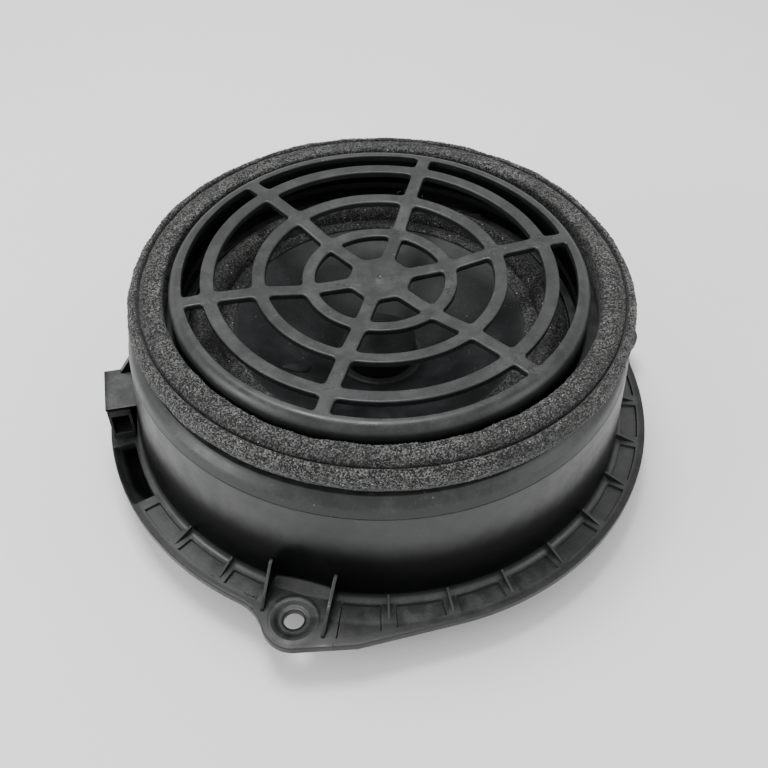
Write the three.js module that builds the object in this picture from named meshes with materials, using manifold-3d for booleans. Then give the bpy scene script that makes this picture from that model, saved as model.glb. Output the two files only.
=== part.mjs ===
// A round in-door car loudspeaker: a tall moulded housing with a riveting flange, a dished
// protective grille, and a 6.5 inch cone driver inside.
//
// Millimetres, +Z forward through the grille. The origin is the centre of the magnet's flat
// rear face. Azimuths are in degrees, counter-clockwise from +X, seen from the front.

import * as THREE from "three";
import { mergeVertices } from "three/addons/utils/BufferGeometryUtils.js";
import Module from "manifold-3d";

const wasm = await Module();
wasm.setup();

// ---------------------------------------------------------------- driving dimensions

const GLUE = 0.2; // thickness of each glue line and seat gap
const FINE = 40; // facets round a large circle
const COARSE = 20; // facets round a small circle

// motor
const BACK_PLATE_R = 35;
const BACK_PLATE_T = 5;
const MAGNET_R = 36;
const MAGNET_BORE_R = 17;
const MAGNET_T = 12;
const TOP_PLATE_R = 34;
const TOP_PLATE_T = 5;
const POLE_R = 11.9;
const POLE_RISE = 1.5; // pole above the top plate
const GAP_CLEARANCE = 0.35; // each side of the coil in the magnetic gap
const COIL_FORMER_WALL = 0.3;
const COIL_T = 0.9;
const COIL_H = 9;
const RIVET_COUNT = 4;
const RIVET_CIRCLE_R = 28;
const RIVET_R = 2.2;
const RIVET_HEAD_H = 1.4;
const RIVET_HEAD_LAP = 1.3;
const RIVET_CLEARANCE = 0.15;

// basket
const BASKET_DEPTH = 29.9; // from its base's rear face to its rim's rear face
const BASKET_T = 2;
const BASKET_RIM_R = 77.2;
const BASKET_RIM_T = 2.3;
const BASKET_MOUTH_R = 66;
const BASKET_BASE_R = 35.5;
const BASKET_BASE_T = 2.4;
const SPIDER_SEAT_H = 8.8; // above the basket base's rear face
const SPIDER_SEAT_W = 3;
const LEG_COUNT = 6;
const LEG_WIDTH = 12;
const WINDOW_FOOT_W = 3.2; // solid band between the spider's seat and the windows
const WINDOW_TOP_W = 2.4; // solid band between the windows and the mouth
const SCREW_COUNT = 4;
const SCREW_CIRCLE_R = 74.2;
const SCREW_R = 1.5;
const SCREW_HEAD_R = 2.6;
const SCREW_HEAD_H = 1.9;
const SCREW_LENGTH = 9;
const SCREW_CLEARANCE = 0.25;

// moving cone
const CONE_R = 56;
const CONE_LIP = 4.6; // flat glue lip at the cone's edge
const CONE_T = 0.8;
const CONE_DEPTH = 18.4; // edge to the neck's collar
const COLLAR_R = 15.3; // foot of the collar that holds the coil former
const COLLAR_H = 2.6;
const COLLAR_T = 0.9;
const FORMER_RISE = 9.4; // former above the cone's neck
const CAP_RISE = 4.8;
const CAP_T = 0.7;
const CAP_SKIRT = 6.6; // down to the collar
const CAP_CLEARANCE = 0.02; // between the dome and the former's top edge
const CAP_STEPS = 4; // facets from edge to crown
const SPIDER_T = 0.5;
const SPIDER_WAVE_H = 1.1;
const SPIDER_WAVES = 5;
const SURROUND_T = 0.8;
const ROLL_H = 5.5;
const ROLL_STEPS = 6; // facets across the roll
const ROLL_CLEARANCE = 1; // between the cone's edge and the roll
const ROLL_OUTER_R = 67;
const CLAMP_RING_R = 71.2;
const CLAMP_RING_T = 1.6;

// housing
const WALL_HEIGHT = 40.5; // flange face to seam
const WALL_TOP_R = 88.3;
const WALL_FOOT_R = 91.2;
const WALL_T = 2.6;
const FOOT_BEAD_W = 1.5;
const FOOT_BEAD_H = 2.4;
const SHELF_DROP = 5.4; // seam to the basket shelf
const SHELF_T = 2.5;
const SHELF_BORE_R = 72.2;
const SCREW_BOSS_R = 3.4;
const SCREW_BOSS_H = 8;
const FLANGE_R = 102;
const FLANGE_T = 3;
const EAR_AZIMUTHS = [-105, 19.5, 135]; // not quite evenly spaced
const EAR_SET_IN = 0.2; // from the flange's edge in to the circle of the ears' holes
const EAR_R = 10.6;
const EAR_HOLE_R = 3.35;
const EAR_FILLET_R = 17.3;
const EAR_KNEE_RISE = 5.5; // the knee on each ear's long side, beyond the flange's edge
const EAR_KNEE_STEP = 12;
const EAR_DISH_R = 6.5;
const EAR_DISH_DEPTH = 0.7;
const POCKET_CLEARANCE = 2.1; // between the wall's foot and the pockets
const POCKET_SET_IN = 3.1; // between the pockets and the flange's edge
const POCKET_DEPTH = 1;
const POCKET_MARGIN = 1.5; // degrees between a pocket's end and its rib
const POCKET_FROM_EAR = 8.2; // degrees between an ear's azimuth and the pockets beside it
const EAR_POCKET_REACH = 0.4; // the wider pocket on the ear's long side, beyond the edge
const RIB_STEP = 12.25;
const RIB_FIRST = 17.35; // from the ear's azimuth
const RIBS_PER_BAY = 8;
const BAY_MARGIN = 12; // degrees without ribs or pockets before the connector's azimuth
const RIB_T = 0.8;
const RIB_H = 2.7;
const RIB_SET_IN = 3.4; // between the gussets and the flange's edge
const FLANK_OFFSET = 10.8; // either side of the ear's radial line
const FLANK_H = 12.3;
const FLANK_T = 1.1;
const FLANK_REACH = [0, 3.8]; // beyond the flange's edge, before and after the ear
const SCALLOP_DEPTH = 1.5;
const SCALLOP_HALF_W = 11;
const SCALLOP_H = 31;

// connector bay, in its own directions: out along its azimuth, and across towards the mouth
const CONNECTOR_AZIMUTH = -167.3;
const BAY_OUTER = 100.5;
const BAY_REAR = -13.7;
const BAY_MOUTH = 5.7;
const BAY_H = 19; // flange face to the bay's roof
const BAY_ROOF_T = 1.1;
const BAY_GAP = 0.3;
const BAY_WALL_T = 1.5;
const BAY_ROOT = 1.4; // how far the bay reaches into the housing's wall
const SHELL_INNER = 91.9;
const SHELL_FOOT = 2.6; // above the flange face
const SHELL_H = 14.6;
const SHELL_WALL = 1.2;
const SOCKET_FLOOR = 5.4; // above the flange face
const SOCKET_H = 8.8;
const SOCKET_WEB = -6.4; // rear web of the socket
const SOCKET_WEB_T = 1.4;
const PIN_W = 2;
const PIN_T = 0.8;
const PIN_PITCH = 4;
const PIN_TIP = -0.6;
const PIN_TAIL_INNER = 82.5;
const PIN_CLEARANCE = 0.3;
const PIN_BEND_BACK = 2.6; // behind the socket's web
const TAIL_SLOT_W = 3.2; // room for the blades' bends behind the web
const TAIL_SLOT_INSET = 0.8;
const TROUGH_START = 4; // degrees past the bay's mouth
const TROUGH_END = 20;
const TROUGH_DEPTH = 5.5;
const TROUGH_FLOOR_W = 4.4; // its deepest part, beside the wall
const TROUGH_STEPS = 3;
const TROUGH_WALL = 1.6;
const TROUGH_INNER_R = 93.4;
const TROUGH_OUTER_R = 99.6;
const BAY_WEB_RISE = 9.6;
const BAY_WEB_REACH = 6.5;
const BAY_WEB_T = 2.4;

// grille cover
const BAND_HEIGHT = 6.4; // seam to shoulder
const SHOULDER_R = 84.4;
const SHOULDER_T = 1.9;
const RIM_HEIGHT = 15.3; // shoulder to rim
const RIM_OUTER_R = 72;
const RIM_ROUND = [3.5, 4.6]; // inwards and downwards
const RIM_ROUND_STEPS = 3;
const RIM_WALL_T = 2.3;
const BAND_SET_BACK = 0.8; // the band's top stands this far outside the shoulder
const SLOT_R = 67.2;
const SKIRT_H = 5.2;
const SKIRT_T = 2;
const SKIRT_GAP = 0.3;
const GRILLE_T = 2.4;
const SPOKE_COUNT = 6;
const SPOKE_WIDTH = 4.8;
const SPOKE_TURN = 0.5; // degrees from the first ear's azimuth
const HUB_APOTHEM = 10.5;
const HUB_DROP = 4.1; // below the rim
const RINGS = [
  { inner: 22.3, outer: 26.7, drop: 3.7 },
  { inner: 39.2, outer: 43.7, drop: 1.0 },
  { inner: 56.3, outer: 61.0, drop: -0.1 },
];

// seals
const FOAM_INNER_R = 75.4;
const FOAM_OUTER_R = 87.6;
const FOAM_HEIGHT = 11.3;
const FOAM_SHIFT = [1, 2.2]; // the ring is stuck on a little off centre
const FLANGE_SEAL_T = 2;
const FLANGE_SEAL_INNER_R = 90.2;
const FLANGE_SEAL_OUTER_R = 94.6;

// wiring
const BOARD_STAND = 0.6; // from the basket's mouth wall to the terminal board
const BOARD_T = 1.6;
const BOARD_W = 24;
const BOARD_H = 12;
const SOLDER_RISE = 2.4; // from the board's lower edge to its solder joints
const LEAD_OFFSET = 9;
const LEAD_R = 0.7;
const LEAD_CONE_R = 27;
const WIRE_R = 0.8;

// ---------------------------------------------------------------- derived heights and radii

const magnetZ = BACK_PLATE_T + GLUE;
const topPlateZ = magnetZ + MAGNET_T + GLUE;
const basketZ = topPlateZ + TOP_PLATE_T + GLUE;
const rimSeatZ = basketZ + BASKET_DEPTH;
const rimTopZ = rimSeatZ + BASKET_RIM_T;
const shelfZ = rimSeatZ - GLUE;
const seamZ = shelfZ + SHELF_DROP;
const flangeZ = seamZ - WALL_HEIGHT;
const flangeRearZ = flangeZ - FLANGE_T;
const shoulderZ = seamZ + BAND_HEIGHT;
const grilleZ = shoulderZ + RIM_HEIGHT;

const formerInnerR = POLE_R + GAP_CLEARANCE;
const formerOuterR = formerInnerR + COIL_FORMER_WALL;
const coilInnerR = formerOuterR + 0.05;
const coilOuterR = coilInnerR + COIL_T;
const plateBoreR = coilOuterR + GAP_CLEARANCE;

const coneEdgeZ = rimTopZ + GLUE + SURROUND_T + GLUE;
const collarZ = coneEdgeZ - CONE_DEPTH;
const coneNeckR = formerOuterR + GLUE;
const coneSlope = CONE_DEPTH / (CONE_R - CONE_LIP - COLLAR_R);
const coneNeckZ = collarZ - coneSlope * (COLLAR_R - coneNeckR);
const formerTopZ = coneNeckZ + FORMER_RISE;
const skirtR = WALL_TOP_R - WALL_T;
const earCircleR = FLANGE_R - EAR_SET_IN;
const kneeR = FLANGE_R + EAR_KNEE_RISE;
const ribOuterR = FLANGE_R - RIB_SET_IN;
const pocketInnerR = WALL_FOOT_R + POCKET_CLEARANCE;
const pocketOuterR = FLANGE_R - POCKET_SET_IN;
const rollInnerR = CONE_R + ROLL_CLEARANCE;
const spiderSeatZ = basketZ + SPIDER_SEAT_H;
const spiderOuterR = BASKET_BASE_R + SPIDER_SEAT_W - 0.6;
const bayRoofZ = flangeZ + BAY_H;
const boardU = BASKET_MOUTH_R + BASKET_T + BOARD_STAND; // the terminal board's inner face
const pinOut = (SHELL_INNER + BAY_OUTER) / 2; // the blades' centre line
const pinBend = SOCKET_WEB - SOCKET_WEB_T - PIN_BEND_BACK; // where each blade turns inward
const coilMidZ = topPlateZ + TOP_PLATE_T / 2;

// ---------------------------------------------------------------- geometry helpers

const radians = THREE.MathUtils.degToRad;

/** Turns a closed three.js geometry into a manifold-3d solid. */
function solid(geometry) {
  const bare = geometry.index ? geometry.toNonIndexed() : geometry.clone();
  for (const name of Object.keys(bare.attributes)) {
    if (name !== "position") bare.deleteAttribute(name);
  }
  const merged = mergeVertices(bare, 1e-4);
  const index = merged.index.array;
  const kept = [];
  for (let i = 0; i < index.length; i += 3) {
    const [a, b, c] = [index[i], index[i + 1], index[i + 2]];
    if (a !== b && b !== c && c !== a) kept.push(a, b, c);
  }
  return new wasm.Manifold(
    new wasm.Mesh({
      numProp: 3,
      vertProperties: merged.attributes.position.array,
      triVerts: new Uint32Array(kept),
    }),
  );
}

/** Turns a manifold-3d solid back into a three.js geometry. */
function geometryOf(body) {
  const mesh = body.getMesh();
  const geometry = new THREE.BufferGeometry();
  geometry.setAttribute("position", new THREE.BufferAttribute(mesh.vertProperties, 3));
  geometry.setIndex(new THREE.BufferAttribute(mesh.triVerts, 1));
  geometry.computeVertexNormals();
  return geometry;
}

/** A solid of revolution about Z from a closed outline of [radius, height] points. */
function turned(outline, facets = FINE) {
  const points = outline.map(([r, z]) => new THREE.Vector2(r, z));
  if (THREE.ShapeUtils.isClockWise(points)) points.reverse();
  points.push(points[0].clone());
  const geometry = new THREE.LatheGeometry(points, facets);
  geometry.rotateX(Math.PI / 2);
  return solid(geometry);
}

/** A plain ring with a rectangular section. */
function ring(innerR, outerR, low, high, facets = FINE) {
  return turned([[innerR, low], [outerR, low], [outerR, high], [innerR, high]], facets);
}

/** A closed polygon of [x, y] points raised between two heights. */
function raised(points, low, high) {
  const shape = new THREE.Shape(points.map(([x, y]) => new THREE.Vector2(x, y)));
  const geometry = new THREE.ExtrudeGeometry(shape, { depth: high - low, bevelEnabled: false });
  geometry.translate(0, 0, low);
  return solid(geometry);
}

/** A cylinder standing at [x, y]. */
function post(x, y, radius, low, high, facets = 12) {
  const geometry = new THREE.CylinderGeometry(radius, radius, high - low, facets);
  geometry.rotateX(Math.PI / 2);
  geometry.translate(x, y, (low + high) / 2);
  return solid(geometry);
}

/** A box given by its low and high corners in a frame turned to an azimuth. */
function turnedBox(low, high, azimuth) {
  const size = low.map((v, i) => high[i] - v);
  const geometry = new THREE.BoxGeometry(...size);
  geometry.translate(...low.map((v, i) => (v + high[i]) / 2));
  geometry.rotateZ(radians(azimuth));
  return solid(geometry);
}

/** A plate standing along an azimuth: a polygon of [out, height], centred on an offset. */
function fin(points, thickness, azimuth, offset = 0) {
  const shape = new THREE.Shape(points.map(([r, z]) => new THREE.Vector2(r, z)));
  const geometry = new THREE.ExtrudeGeometry(shape, { depth: thickness, bevelEnabled: false });
  geometry.rotateX(Math.PI / 2);
  geometry.translate(0, offset + thickness / 2, 0);
  geometry.rotateZ(radians(azimuth));
  return solid(geometry);
}

/** Points on a circle between two azimuths. */
function arc(radius, from, to, count, x = 0, y = 0) {
  return Array.from({ length: count + 1 }, (_, i) => {
    const a = radians(from + ((to - from) * i) / count);
    return [x + radius * Math.cos(a), y + radius * Math.sin(a)];
  });
}

/** A flat annular sector raised between two heights. */
function sector(innerR, outerR, from, to, low, high, count = 6) {
  const points = [...arc(outerR, from, to, count), ...arc(innerR, to, from, count)];
  return raised(points, low, high);
}

/** A round rod along a smooth path through the given points. */
function rod(points, radius, steps, sides = 8) {
  const section = new THREE.Shape();
  section.absarc(0, 0, radius, 0, 2 * Math.PI, false);
  const path = new THREE.CatmullRomCurve3(points.map((p) => new THREE.Vector3(...p)));
  return new THREE.ExtrudeGeometry(section, {
    steps,
    curveSegments: sides,
    bevelEnabled: false,
    extrudePath: path,
  });
}

/** A point given in the connector's directions: out, across and up. */
function atConnector(out, across, height) {
  const a = radians(CONNECTOR_AZIMUTH);
  return [
    out * Math.cos(a) - across * Math.sin(a),
    out * Math.sin(a) + across * Math.cos(a),
    height,
  ];
}

const joined = (first, ...rest) => rest.reduce((all, one) => all.add(one), first);
const cutBy = (first, ...rest) => rest.reduce((all, one) => all.subtract(one), first);
const wallR = (z) => WALL_FOOT_R + ((WALL_TOP_R - WALL_FOOT_R) * (z - flangeZ)) / WALL_HEIGHT;
const polar = (radius, azimuth) => [
  radius * Math.cos(radians(azimuth)),
  radius * Math.sin(radians(azimuth)),
];

// ---------------------------------------------------------------- housing

/** One ear's outline: a fillet, the round tip, a straight side to the knee, then the circle. */
function earOutline(azimuth) {
  const reach = FLANGE_R + EAR_FILLET_R;
  const span = EAR_R + EAR_FILLET_R;
  const cosine = (earCircleR ** 2 + reach ** 2 - span ** 2) / (2 * earCircleR * reach);
  const filletAz = azimuth - THREE.MathUtils.radToDeg(Math.acos(cosine));
  const [fx, fy] = polar(reach, filletAz);
  const [ex, ey] = polar(earCircleR, azimuth);
  const filletTurn = THREE.MathUtils.radToDeg(Math.atan2(ey - fy, ex - fx));
  const filletEnd = filletTurn + (filletTurn < filletAz ? 360 : 0);
  const fillet = arc(EAR_FILLET_R, filletAz + 180, filletEnd, 5, fx, fy);

  const [kx, ky] = polar(kneeR, azimuth + EAR_KNEE_STEP);
  const toKnee = Math.hypot(kx - ex, ky - ey);
  const kneeTurn = THREE.MathUtils.radToDeg(Math.atan2(ky - ey, kx - ex));
  const leave = kneeTurn - THREE.MathUtils.radToDeg(Math.acos(EAR_R / toKnee));
  let enter = filletTurn + 180;
  while (enter > leave) enter -= 360;
  while (leave - enter > 360) enter += 360;
  const tip = arc(EAR_R, enter, leave, 10, ex, ey);

  const meet = azimuth + EAR_KNEE_STEP + THREE.MathUtils.radToDeg(Math.acos(FLANGE_R / kneeR));
  return [[0, 0], ...fillet, ...tip, [kx, ky], polar(FLANGE_R, meet)];
}

function makeHousing() {
  const wall = turned([
    [WALL_FOOT_R - WALL_T, flangeRearZ],
    [WALL_FOOT_R + FOOT_BEAD_W + 1, flangeRearZ],
    [WALL_FOOT_R + FOOT_BEAD_W + 1, flangeZ],
    [WALL_FOOT_R + FOOT_BEAD_W, flangeZ],
    [WALL_FOOT_R + FOOT_BEAD_W * 0.3, flangeZ + FOOT_BEAD_H * 0.3],
    [wallR(flangeZ + FOOT_BEAD_H), flangeZ + FOOT_BEAD_H],
    [WALL_TOP_R, seamZ - GLUE],
    [skirtR + SKIRT_GAP, seamZ - GLUE],
    [skirtR + SKIRT_GAP, shelfZ],
    [SHELF_BORE_R, shelfZ],
    [SHELF_BORE_R, shelfZ - SHELF_T],
    [wallR(shelfZ - SHELF_T) - WALL_T, shelfZ - SHELF_T],
  ]);
  let body = wall.add(ring(WALL_FOOT_R - 1, FLANGE_R, flangeRearZ, flangeZ));

  const bore = post(0, 0, WALL_FOOT_R - 0.6, flangeRearZ - 1, flangeZ + 1, FINE);
  for (const azimuth of EAR_AZIMUTHS) {
    body = body.add(raised(earOutline(azimuth), flangeRearZ, flangeZ).subtract(bore));
  }
  for (const azimuth of EAR_AZIMUTHS) body = addEarDetail(body, azimuth);
  body = addRibsAndPockets(body);
  body = addScrewBosses(body);
  return addConnectorBay(body);
}

/** Flanking ribs, the scallop in the wall, the dished seat and the rivet hole of one ear. */
function addEarDetail(body, azimuth) {
  const [x, y] = polar(earCircleR, azimuth);
  const foot = WALL_FOOT_R - 1.5;
  const top = wallR(flangeZ + FLANK_H) - 1.2;
  const flanks = FLANK_REACH.map((reach, i) => {
    const end = FLANGE_R + reach;
    const outline = [
      [foot, flangeZ - 1],
      [end, flangeZ - 1],
      [end, flangeZ + 0.9],
      [top, flangeZ + FLANK_H],
    ];
    return fin(outline, FLANK_T, azimuth, (2 * i - 1) * FLANK_OFFSET);
  });
  const scallop = new THREE.SphereGeometry(1, 12, 10);
  scallop.scale(SCALLOP_DEPTH + 0.6, SCALLOP_HALF_W, SCALLOP_H);
  scallop.translate(wallR(flangeZ + FLANK_H) + 0.6, 0, flangeZ + FOOT_BEAD_H);
  scallop.rotateZ(radians(azimuth));
  const below = ring(SHELF_BORE_R, FLANGE_R + 20, flangeRearZ - 40, flangeZ + FOOT_BEAD_H);
  return joined(body.subtract(solid(scallop).subtract(below)), ...flanks)
    .subtract(post(x, y, EAR_DISH_R, flangeZ - EAR_DISH_DEPTH, flangeZ + 1))
    .subtract(post(x, y, EAR_HOLE_R, flangeRearZ - 1, flangeZ + 1));
}

/** Shallow pockets round the flange, with a low gusset rib between each two. */
function addRibsAndPockets(body) {
  const foot = WALL_FOOT_R - 1.5;
  const gusset = [
    [foot, flangeZ - POCKET_DEPTH - 0.5],
    [ribOuterR, flangeZ - POCKET_DEPTH - 0.5],
    [ribOuterR, flangeZ + 0.1],
    [foot, flangeZ + RIB_H],
  ];
  const floor = flangeZ - POCKET_DEPTH;
  const pocket = (start, end, outer = pocketOuterR) =>
    sector(pocketInnerR, outer, start, end, floor, flangeZ + 1, 3);
  const clear = (azimuth) => {
    const turn = THREE.MathUtils.euclideanModulo(azimuth - CONNECTOR_AZIMUTH + BAY_MARGIN, 360);
    return turn > BAY_MARGIN + TROUGH_END + 1;
  };
  EAR_AZIMUTHS.forEach((azimuth, ear) => {
    const first = azimuth + RIB_FIRST;
    const last = first + (RIBS_PER_BAY - 1) * RIB_STEP;
    const next = ear + 1 < EAR_AZIMUTHS.length ? EAR_AZIMUTHS[ear + 1] : EAR_AZIMUTHS[0] + 360;
    body = body
      .subtract(pocket(azimuth + POCKET_FROM_EAR, first - POCKET_MARGIN, FLANGE_R + EAR_POCKET_REACH))
      .subtract(pocket(last + POCKET_MARGIN, next - POCKET_FROM_EAR));
    for (let i = 0; i < RIBS_PER_BAY; i++) {
      const at = first + i * RIB_STEP;
      if (!clear(at)) continue;
      body = body.add(fin(gusset, RIB_T, at));
      if (i === RIBS_PER_BAY - 1) continue;
      const end = at + RIB_STEP - POCKET_MARGIN;
      if (clear(end)) body = body.subtract(pocket(at + POCKET_MARGIN, end));
    }
  });
  return body;
}

/** Blind bosses under the shelf that take the basket screws. */
function addScrewBosses(body) {
  for (let i = 0; i < SCREW_COUNT; i++) {
    const [x, y] = polar(SCREW_CIRCLE_R, screwAzimuth(i));
    body = body
      .add(post(x, y, SCREW_BOSS_R, shelfZ - SHELF_T - SCREW_BOSS_H, shelfZ - 0.5))
      .subtract(post(x, y, SCREW_R + SCREW_CLEARANCE, shelfZ - SCREW_LENGTH + 0.6, shelfZ + 1, 12));
  }
  return body;
}

/** The roof, rear wall and web over the connector, the wire slot, and the trough before it. */
function addConnectorBay(body) {
  const inside = wallR(bayRoofZ) - BAY_ROOT;
  const roof = turnedBox(
    [inside, BAY_REAR, bayRoofZ - BAY_ROOF_T],
    [BAY_OUTER, BAY_MOUTH, bayRoofZ],
    CONNECTOR_AZIMUTH,
  );
  const rear = turnedBox(
    [inside, BAY_REAR, flangeZ - 0.5],
    [BAY_OUTER, BAY_REAR + BAY_WALL_T, bayRoofZ],
    CONNECTOR_AZIMUTH,
  );
  const webSide = [
    [inside, bayRoofZ - 0.5],
    [inside + BAY_WEB_REACH, bayRoofZ - 0.5],
    [inside - 0.2, bayRoofZ + BAY_WEB_RISE],
  ];
  const web = fin(webSide, BAY_WEB_T, CONNECTOR_AZIMUTH, BAY_REAR + BAY_WEB_T / 2);
  const slot = turnedBox(
    [PIN_TAIL_INNER - 2, SOCKET_WEB - SOCKET_WEB_T - TAIL_SLOT_W, flangeZ + SOCKET_FLOOR + 0.6],
    [SHELL_INNER + 4, SOCKET_WEB - SOCKET_WEB_T, flangeZ + SOCKET_FLOOR + SOCKET_H - 0.6],
    CONNECTOR_AZIMUTH,
  );
  const from = CONNECTOR_AZIMUTH + TROUGH_START;
  const to = CONNECTOR_AZIMUTH + TROUGH_END;
  const outside = sector(
    TROUGH_INNER_R - TROUGH_WALL,
    TROUGH_OUTER_R + TROUGH_WALL,
    from - 1,
    to + 1,
    flangeZ - TROUGH_DEPTH - TROUGH_WALL,
    flangeZ - 0.5,
  );
  const cuts = Array.from({ length: TROUGH_STEPS }, (_, i) =>
    sector(
      TROUGH_INNER_R,
      TROUGH_OUTER_R - ((TROUGH_OUTER_R - TROUGH_FLOOR_W - TROUGH_INNER_R) * i) / (TROUGH_STEPS - 1),
      from,
      to,
      flangeZ - (TROUGH_DEPTH * (i + 1)) / TROUGH_STEPS,
      flangeZ + 0.5,
    ),
  );
  return cutBy(joined(body, roof, rear, web, outside), slot, ...cuts);
}

// ---------------------------------------------------------------- grille cover

/** Height of the grille's upper face at a radius: flat hub and rim with a dish between. */
function grilleTop(radius) {
  const knots = [
    [0, HUB_DROP],
    [HUB_APOTHEM, HUB_DROP],
    ...RINGS.map((r) => [(r.inner + r.outer) / 2, r.drop]),
    [SLOT_R, 0],
  ];
  const after = knots.findIndex(([r]) => r >= radius);
  if (after <= 0) return grilleZ - HUB_DROP;
  const [[r0, d0], [r1, d1]] = [knots[after - 1], knots[after]];
  return grilleZ - (d0 + ((d1 - d0) * (radius - r0)) / (r1 - r0));
}

function makeGrilleCover() {
  const bead = arc(1, 0, 90, RIM_ROUND_STEPS).map(([x, y]) => [
    RIM_OUTER_R - RIM_ROUND[0] * (1 - x),
    grilleZ - RIM_ROUND[1] * (1 - y),
  ]);
  const bandTopR = SHOULDER_R + BAND_SET_BACK;
  const shell = turned([
    [RIM_OUTER_R, shoulderZ],
    ...bead,
    [SLOT_R, grilleZ],
    [SLOT_R, grilleZ - GRILLE_T],
    [RIM_OUTER_R - RIM_WALL_T, grilleZ - GRILLE_T - 2.5],
    [RIM_OUTER_R - RIM_WALL_T, shoulderZ - SHOULDER_T],
    [skirtR - SKIRT_T, shoulderZ - SHOULDER_T],
    [skirtR - SKIRT_T, seamZ - SKIRT_H],
    [skirtR, seamZ - SKIRT_H],
    [skirtR, seamZ],
    [WALL_TOP_R, seamZ],
    [(WALL_TOP_R + bandTopR) / 2 + 0.5, (seamZ + shoulderZ) / 2 + 0.2],
    [bandTopR, shoulderZ - 0.7],
    [SHOULDER_R, shoulderZ],
  ]);

  let grille = shell;
  for (const { inner, outer, drop } of RINGS) {
    grille = grille.add(ring(inner, outer, grilleZ - drop - GRILLE_T, grilleZ - drop));
  }
  const hubR = HUB_APOTHEM / Math.cos(Math.PI / SPOKE_COUNT);
  const spokeAz = EAR_AZIMUTHS[0] + SPOKE_TURN;
  const hub = raised(
    arc(hubR, spokeAz, spokeAz + 360, SPOKE_COUNT).slice(0, SPOKE_COUNT),
    grilleZ - HUB_DROP - GRILLE_T,
    grilleZ - HUB_DROP,
  );
  grille = grille.add(hub);

  const stops = [0, HUB_APOTHEM, ...RINGS.map((r) => (r.inner + r.outer) / 2), SLOT_R + 1];
  const upper = stops.map((r) => [r, grilleTop(Math.min(r, SLOT_R))]);
  const lower = stops.map((r) => [r, grilleTop(Math.min(r, SLOT_R)) - GRILLE_T]).reverse();
  for (let i = 0; i < SPOKE_COUNT; i++) {
    grille = grille.add(fin([...lower, ...upper], SPOKE_WIDTH, spokeAz + (i * 360) / SPOKE_COUNT));
  }
  return grille;
}

// ---------------------------------------------------------------- seals

function makeFoamGasket() {
  const low = shoulderZ + GLUE;
  const high = shoulderZ + FOAM_HEIGHT;
  return turned([
    [FOAM_INNER_R, low],
    [SHOULDER_R, low],
    [SHOULDER_R + 2.6, low + 2.4],
    [FOAM_OUTER_R, low + 5.8],
    [FOAM_OUTER_R - 1.4, high - 1.6],
    [FOAM_OUTER_R - 4.2, high],
    [FOAM_INNER_R + 1.2, high],
    [FOAM_INNER_R, high - 1.2],
  ]).translate([...FOAM_SHIFT, 0]);
}

function makeFlangeSeal() {
  return ring(
    FLANGE_SEAL_INNER_R,
    FLANGE_SEAL_OUTER_R,
    flangeRearZ - GLUE - FLANGE_SEAL_T,
    flangeRearZ - GLUE,
  ).subtract(
    sector(
      TROUGH_INNER_R - TROUGH_WALL - 8,
      TROUGH_OUTER_R + TROUGH_WALL + 8,
      CONNECTOR_AZIMUTH + TROUGH_START - 2,
      CONNECTOR_AZIMUTH + TROUGH_END + 2,
      flangeRearZ - 20,
      flangeRearZ,
    ),
  );
}

// ---------------------------------------------------------------- connector and wiring

const pinHeights = [-1, 1].map(
  (side) => flangeZ + SOCKET_FLOOR + SOCKET_H / 2 + (side * PIN_PITCH) / 2,
);

function makeConnectorShell() {
  const low = flangeZ + SHELL_FOOT;
  const floor = flangeZ + SOCKET_FLOOR;
  const roof = floor + SOCKET_H;
  const inner = SHELL_INNER + SHELL_WALL;
  const outer = BAY_OUTER - SHELL_WALL;
  const rear = BAY_REAR + BAY_WALL_T + BAY_GAP;
  const webRear = SOCKET_WEB - SOCKET_WEB_T;
  const box = (lo, hi) => turnedBox(lo, hi, CONNECTOR_AZIMUTH);
  let body = box([SHELL_INNER, rear, low], [BAY_OUTER, BAY_MOUTH, low + SHELL_H]);
  body = cutBy(
    body,
    box([inner, SOCKET_WEB, floor], [outer, BAY_MOUTH + 1, roof]),
    box(
      [SHELL_INNER - 1, webRear - TAIL_SLOT_W, floor + TAIL_SLOT_INSET],
      [outer, webRear, roof - TAIL_SLOT_INSET],
    ),
  );
  for (const z of pinHeights) {
    const half = PIN_T / 2 + PIN_CLEARANCE;
    body = body.subtract(
      box(
        [pinOut - PIN_W / 2 - PIN_CLEARANCE, webRear - 1, z - half],
        [pinOut + PIN_W / 2 + PIN_CLEARANCE, SOCKET_WEB + 1, z + half],
      ),
    );
  }
  return body;
}

/** An L-shaped blade: its contact stands in the socket and its tail passes through the wall. */
function makeTerminalPin(z) {
  const outline = [
    [PIN_TAIL_INNER, pinBend],
    [pinOut + PIN_W / 2, pinBend],
    [pinOut + PIN_W / 2, PIN_TIP],
    [pinOut - PIN_W / 2, PIN_TIP],
    [pinOut - PIN_W / 2, pinBend + PIN_W],
    [PIN_TAIL_INNER, pinBend + PIN_W],
  ];
  const shape = new THREE.Shape(outline.map(([u, v]) => new THREE.Vector2(u, v)));
  const geometry = new THREE.ExtrudeGeometry(shape, { depth: PIN_T, bevelEnabled: false });
  geometry.translate(0, 0, z - PIN_T / 2);
  geometry.rotateZ(radians(CONNECTOR_AZIMUTH));
  return geometry;
}

/** The board under the basket rim where the tinsel leads and the hook-up wires meet. */
function makeTerminalBoard() {
  return turnedBox(
    [boardU, -BOARD_W / 2, rimSeatZ - GLUE - BOARD_H],
    [boardU + BOARD_T, BOARD_W / 2, rimSeatZ - GLUE],
    CONNECTOR_AZIMUTH,
  );
}

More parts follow.
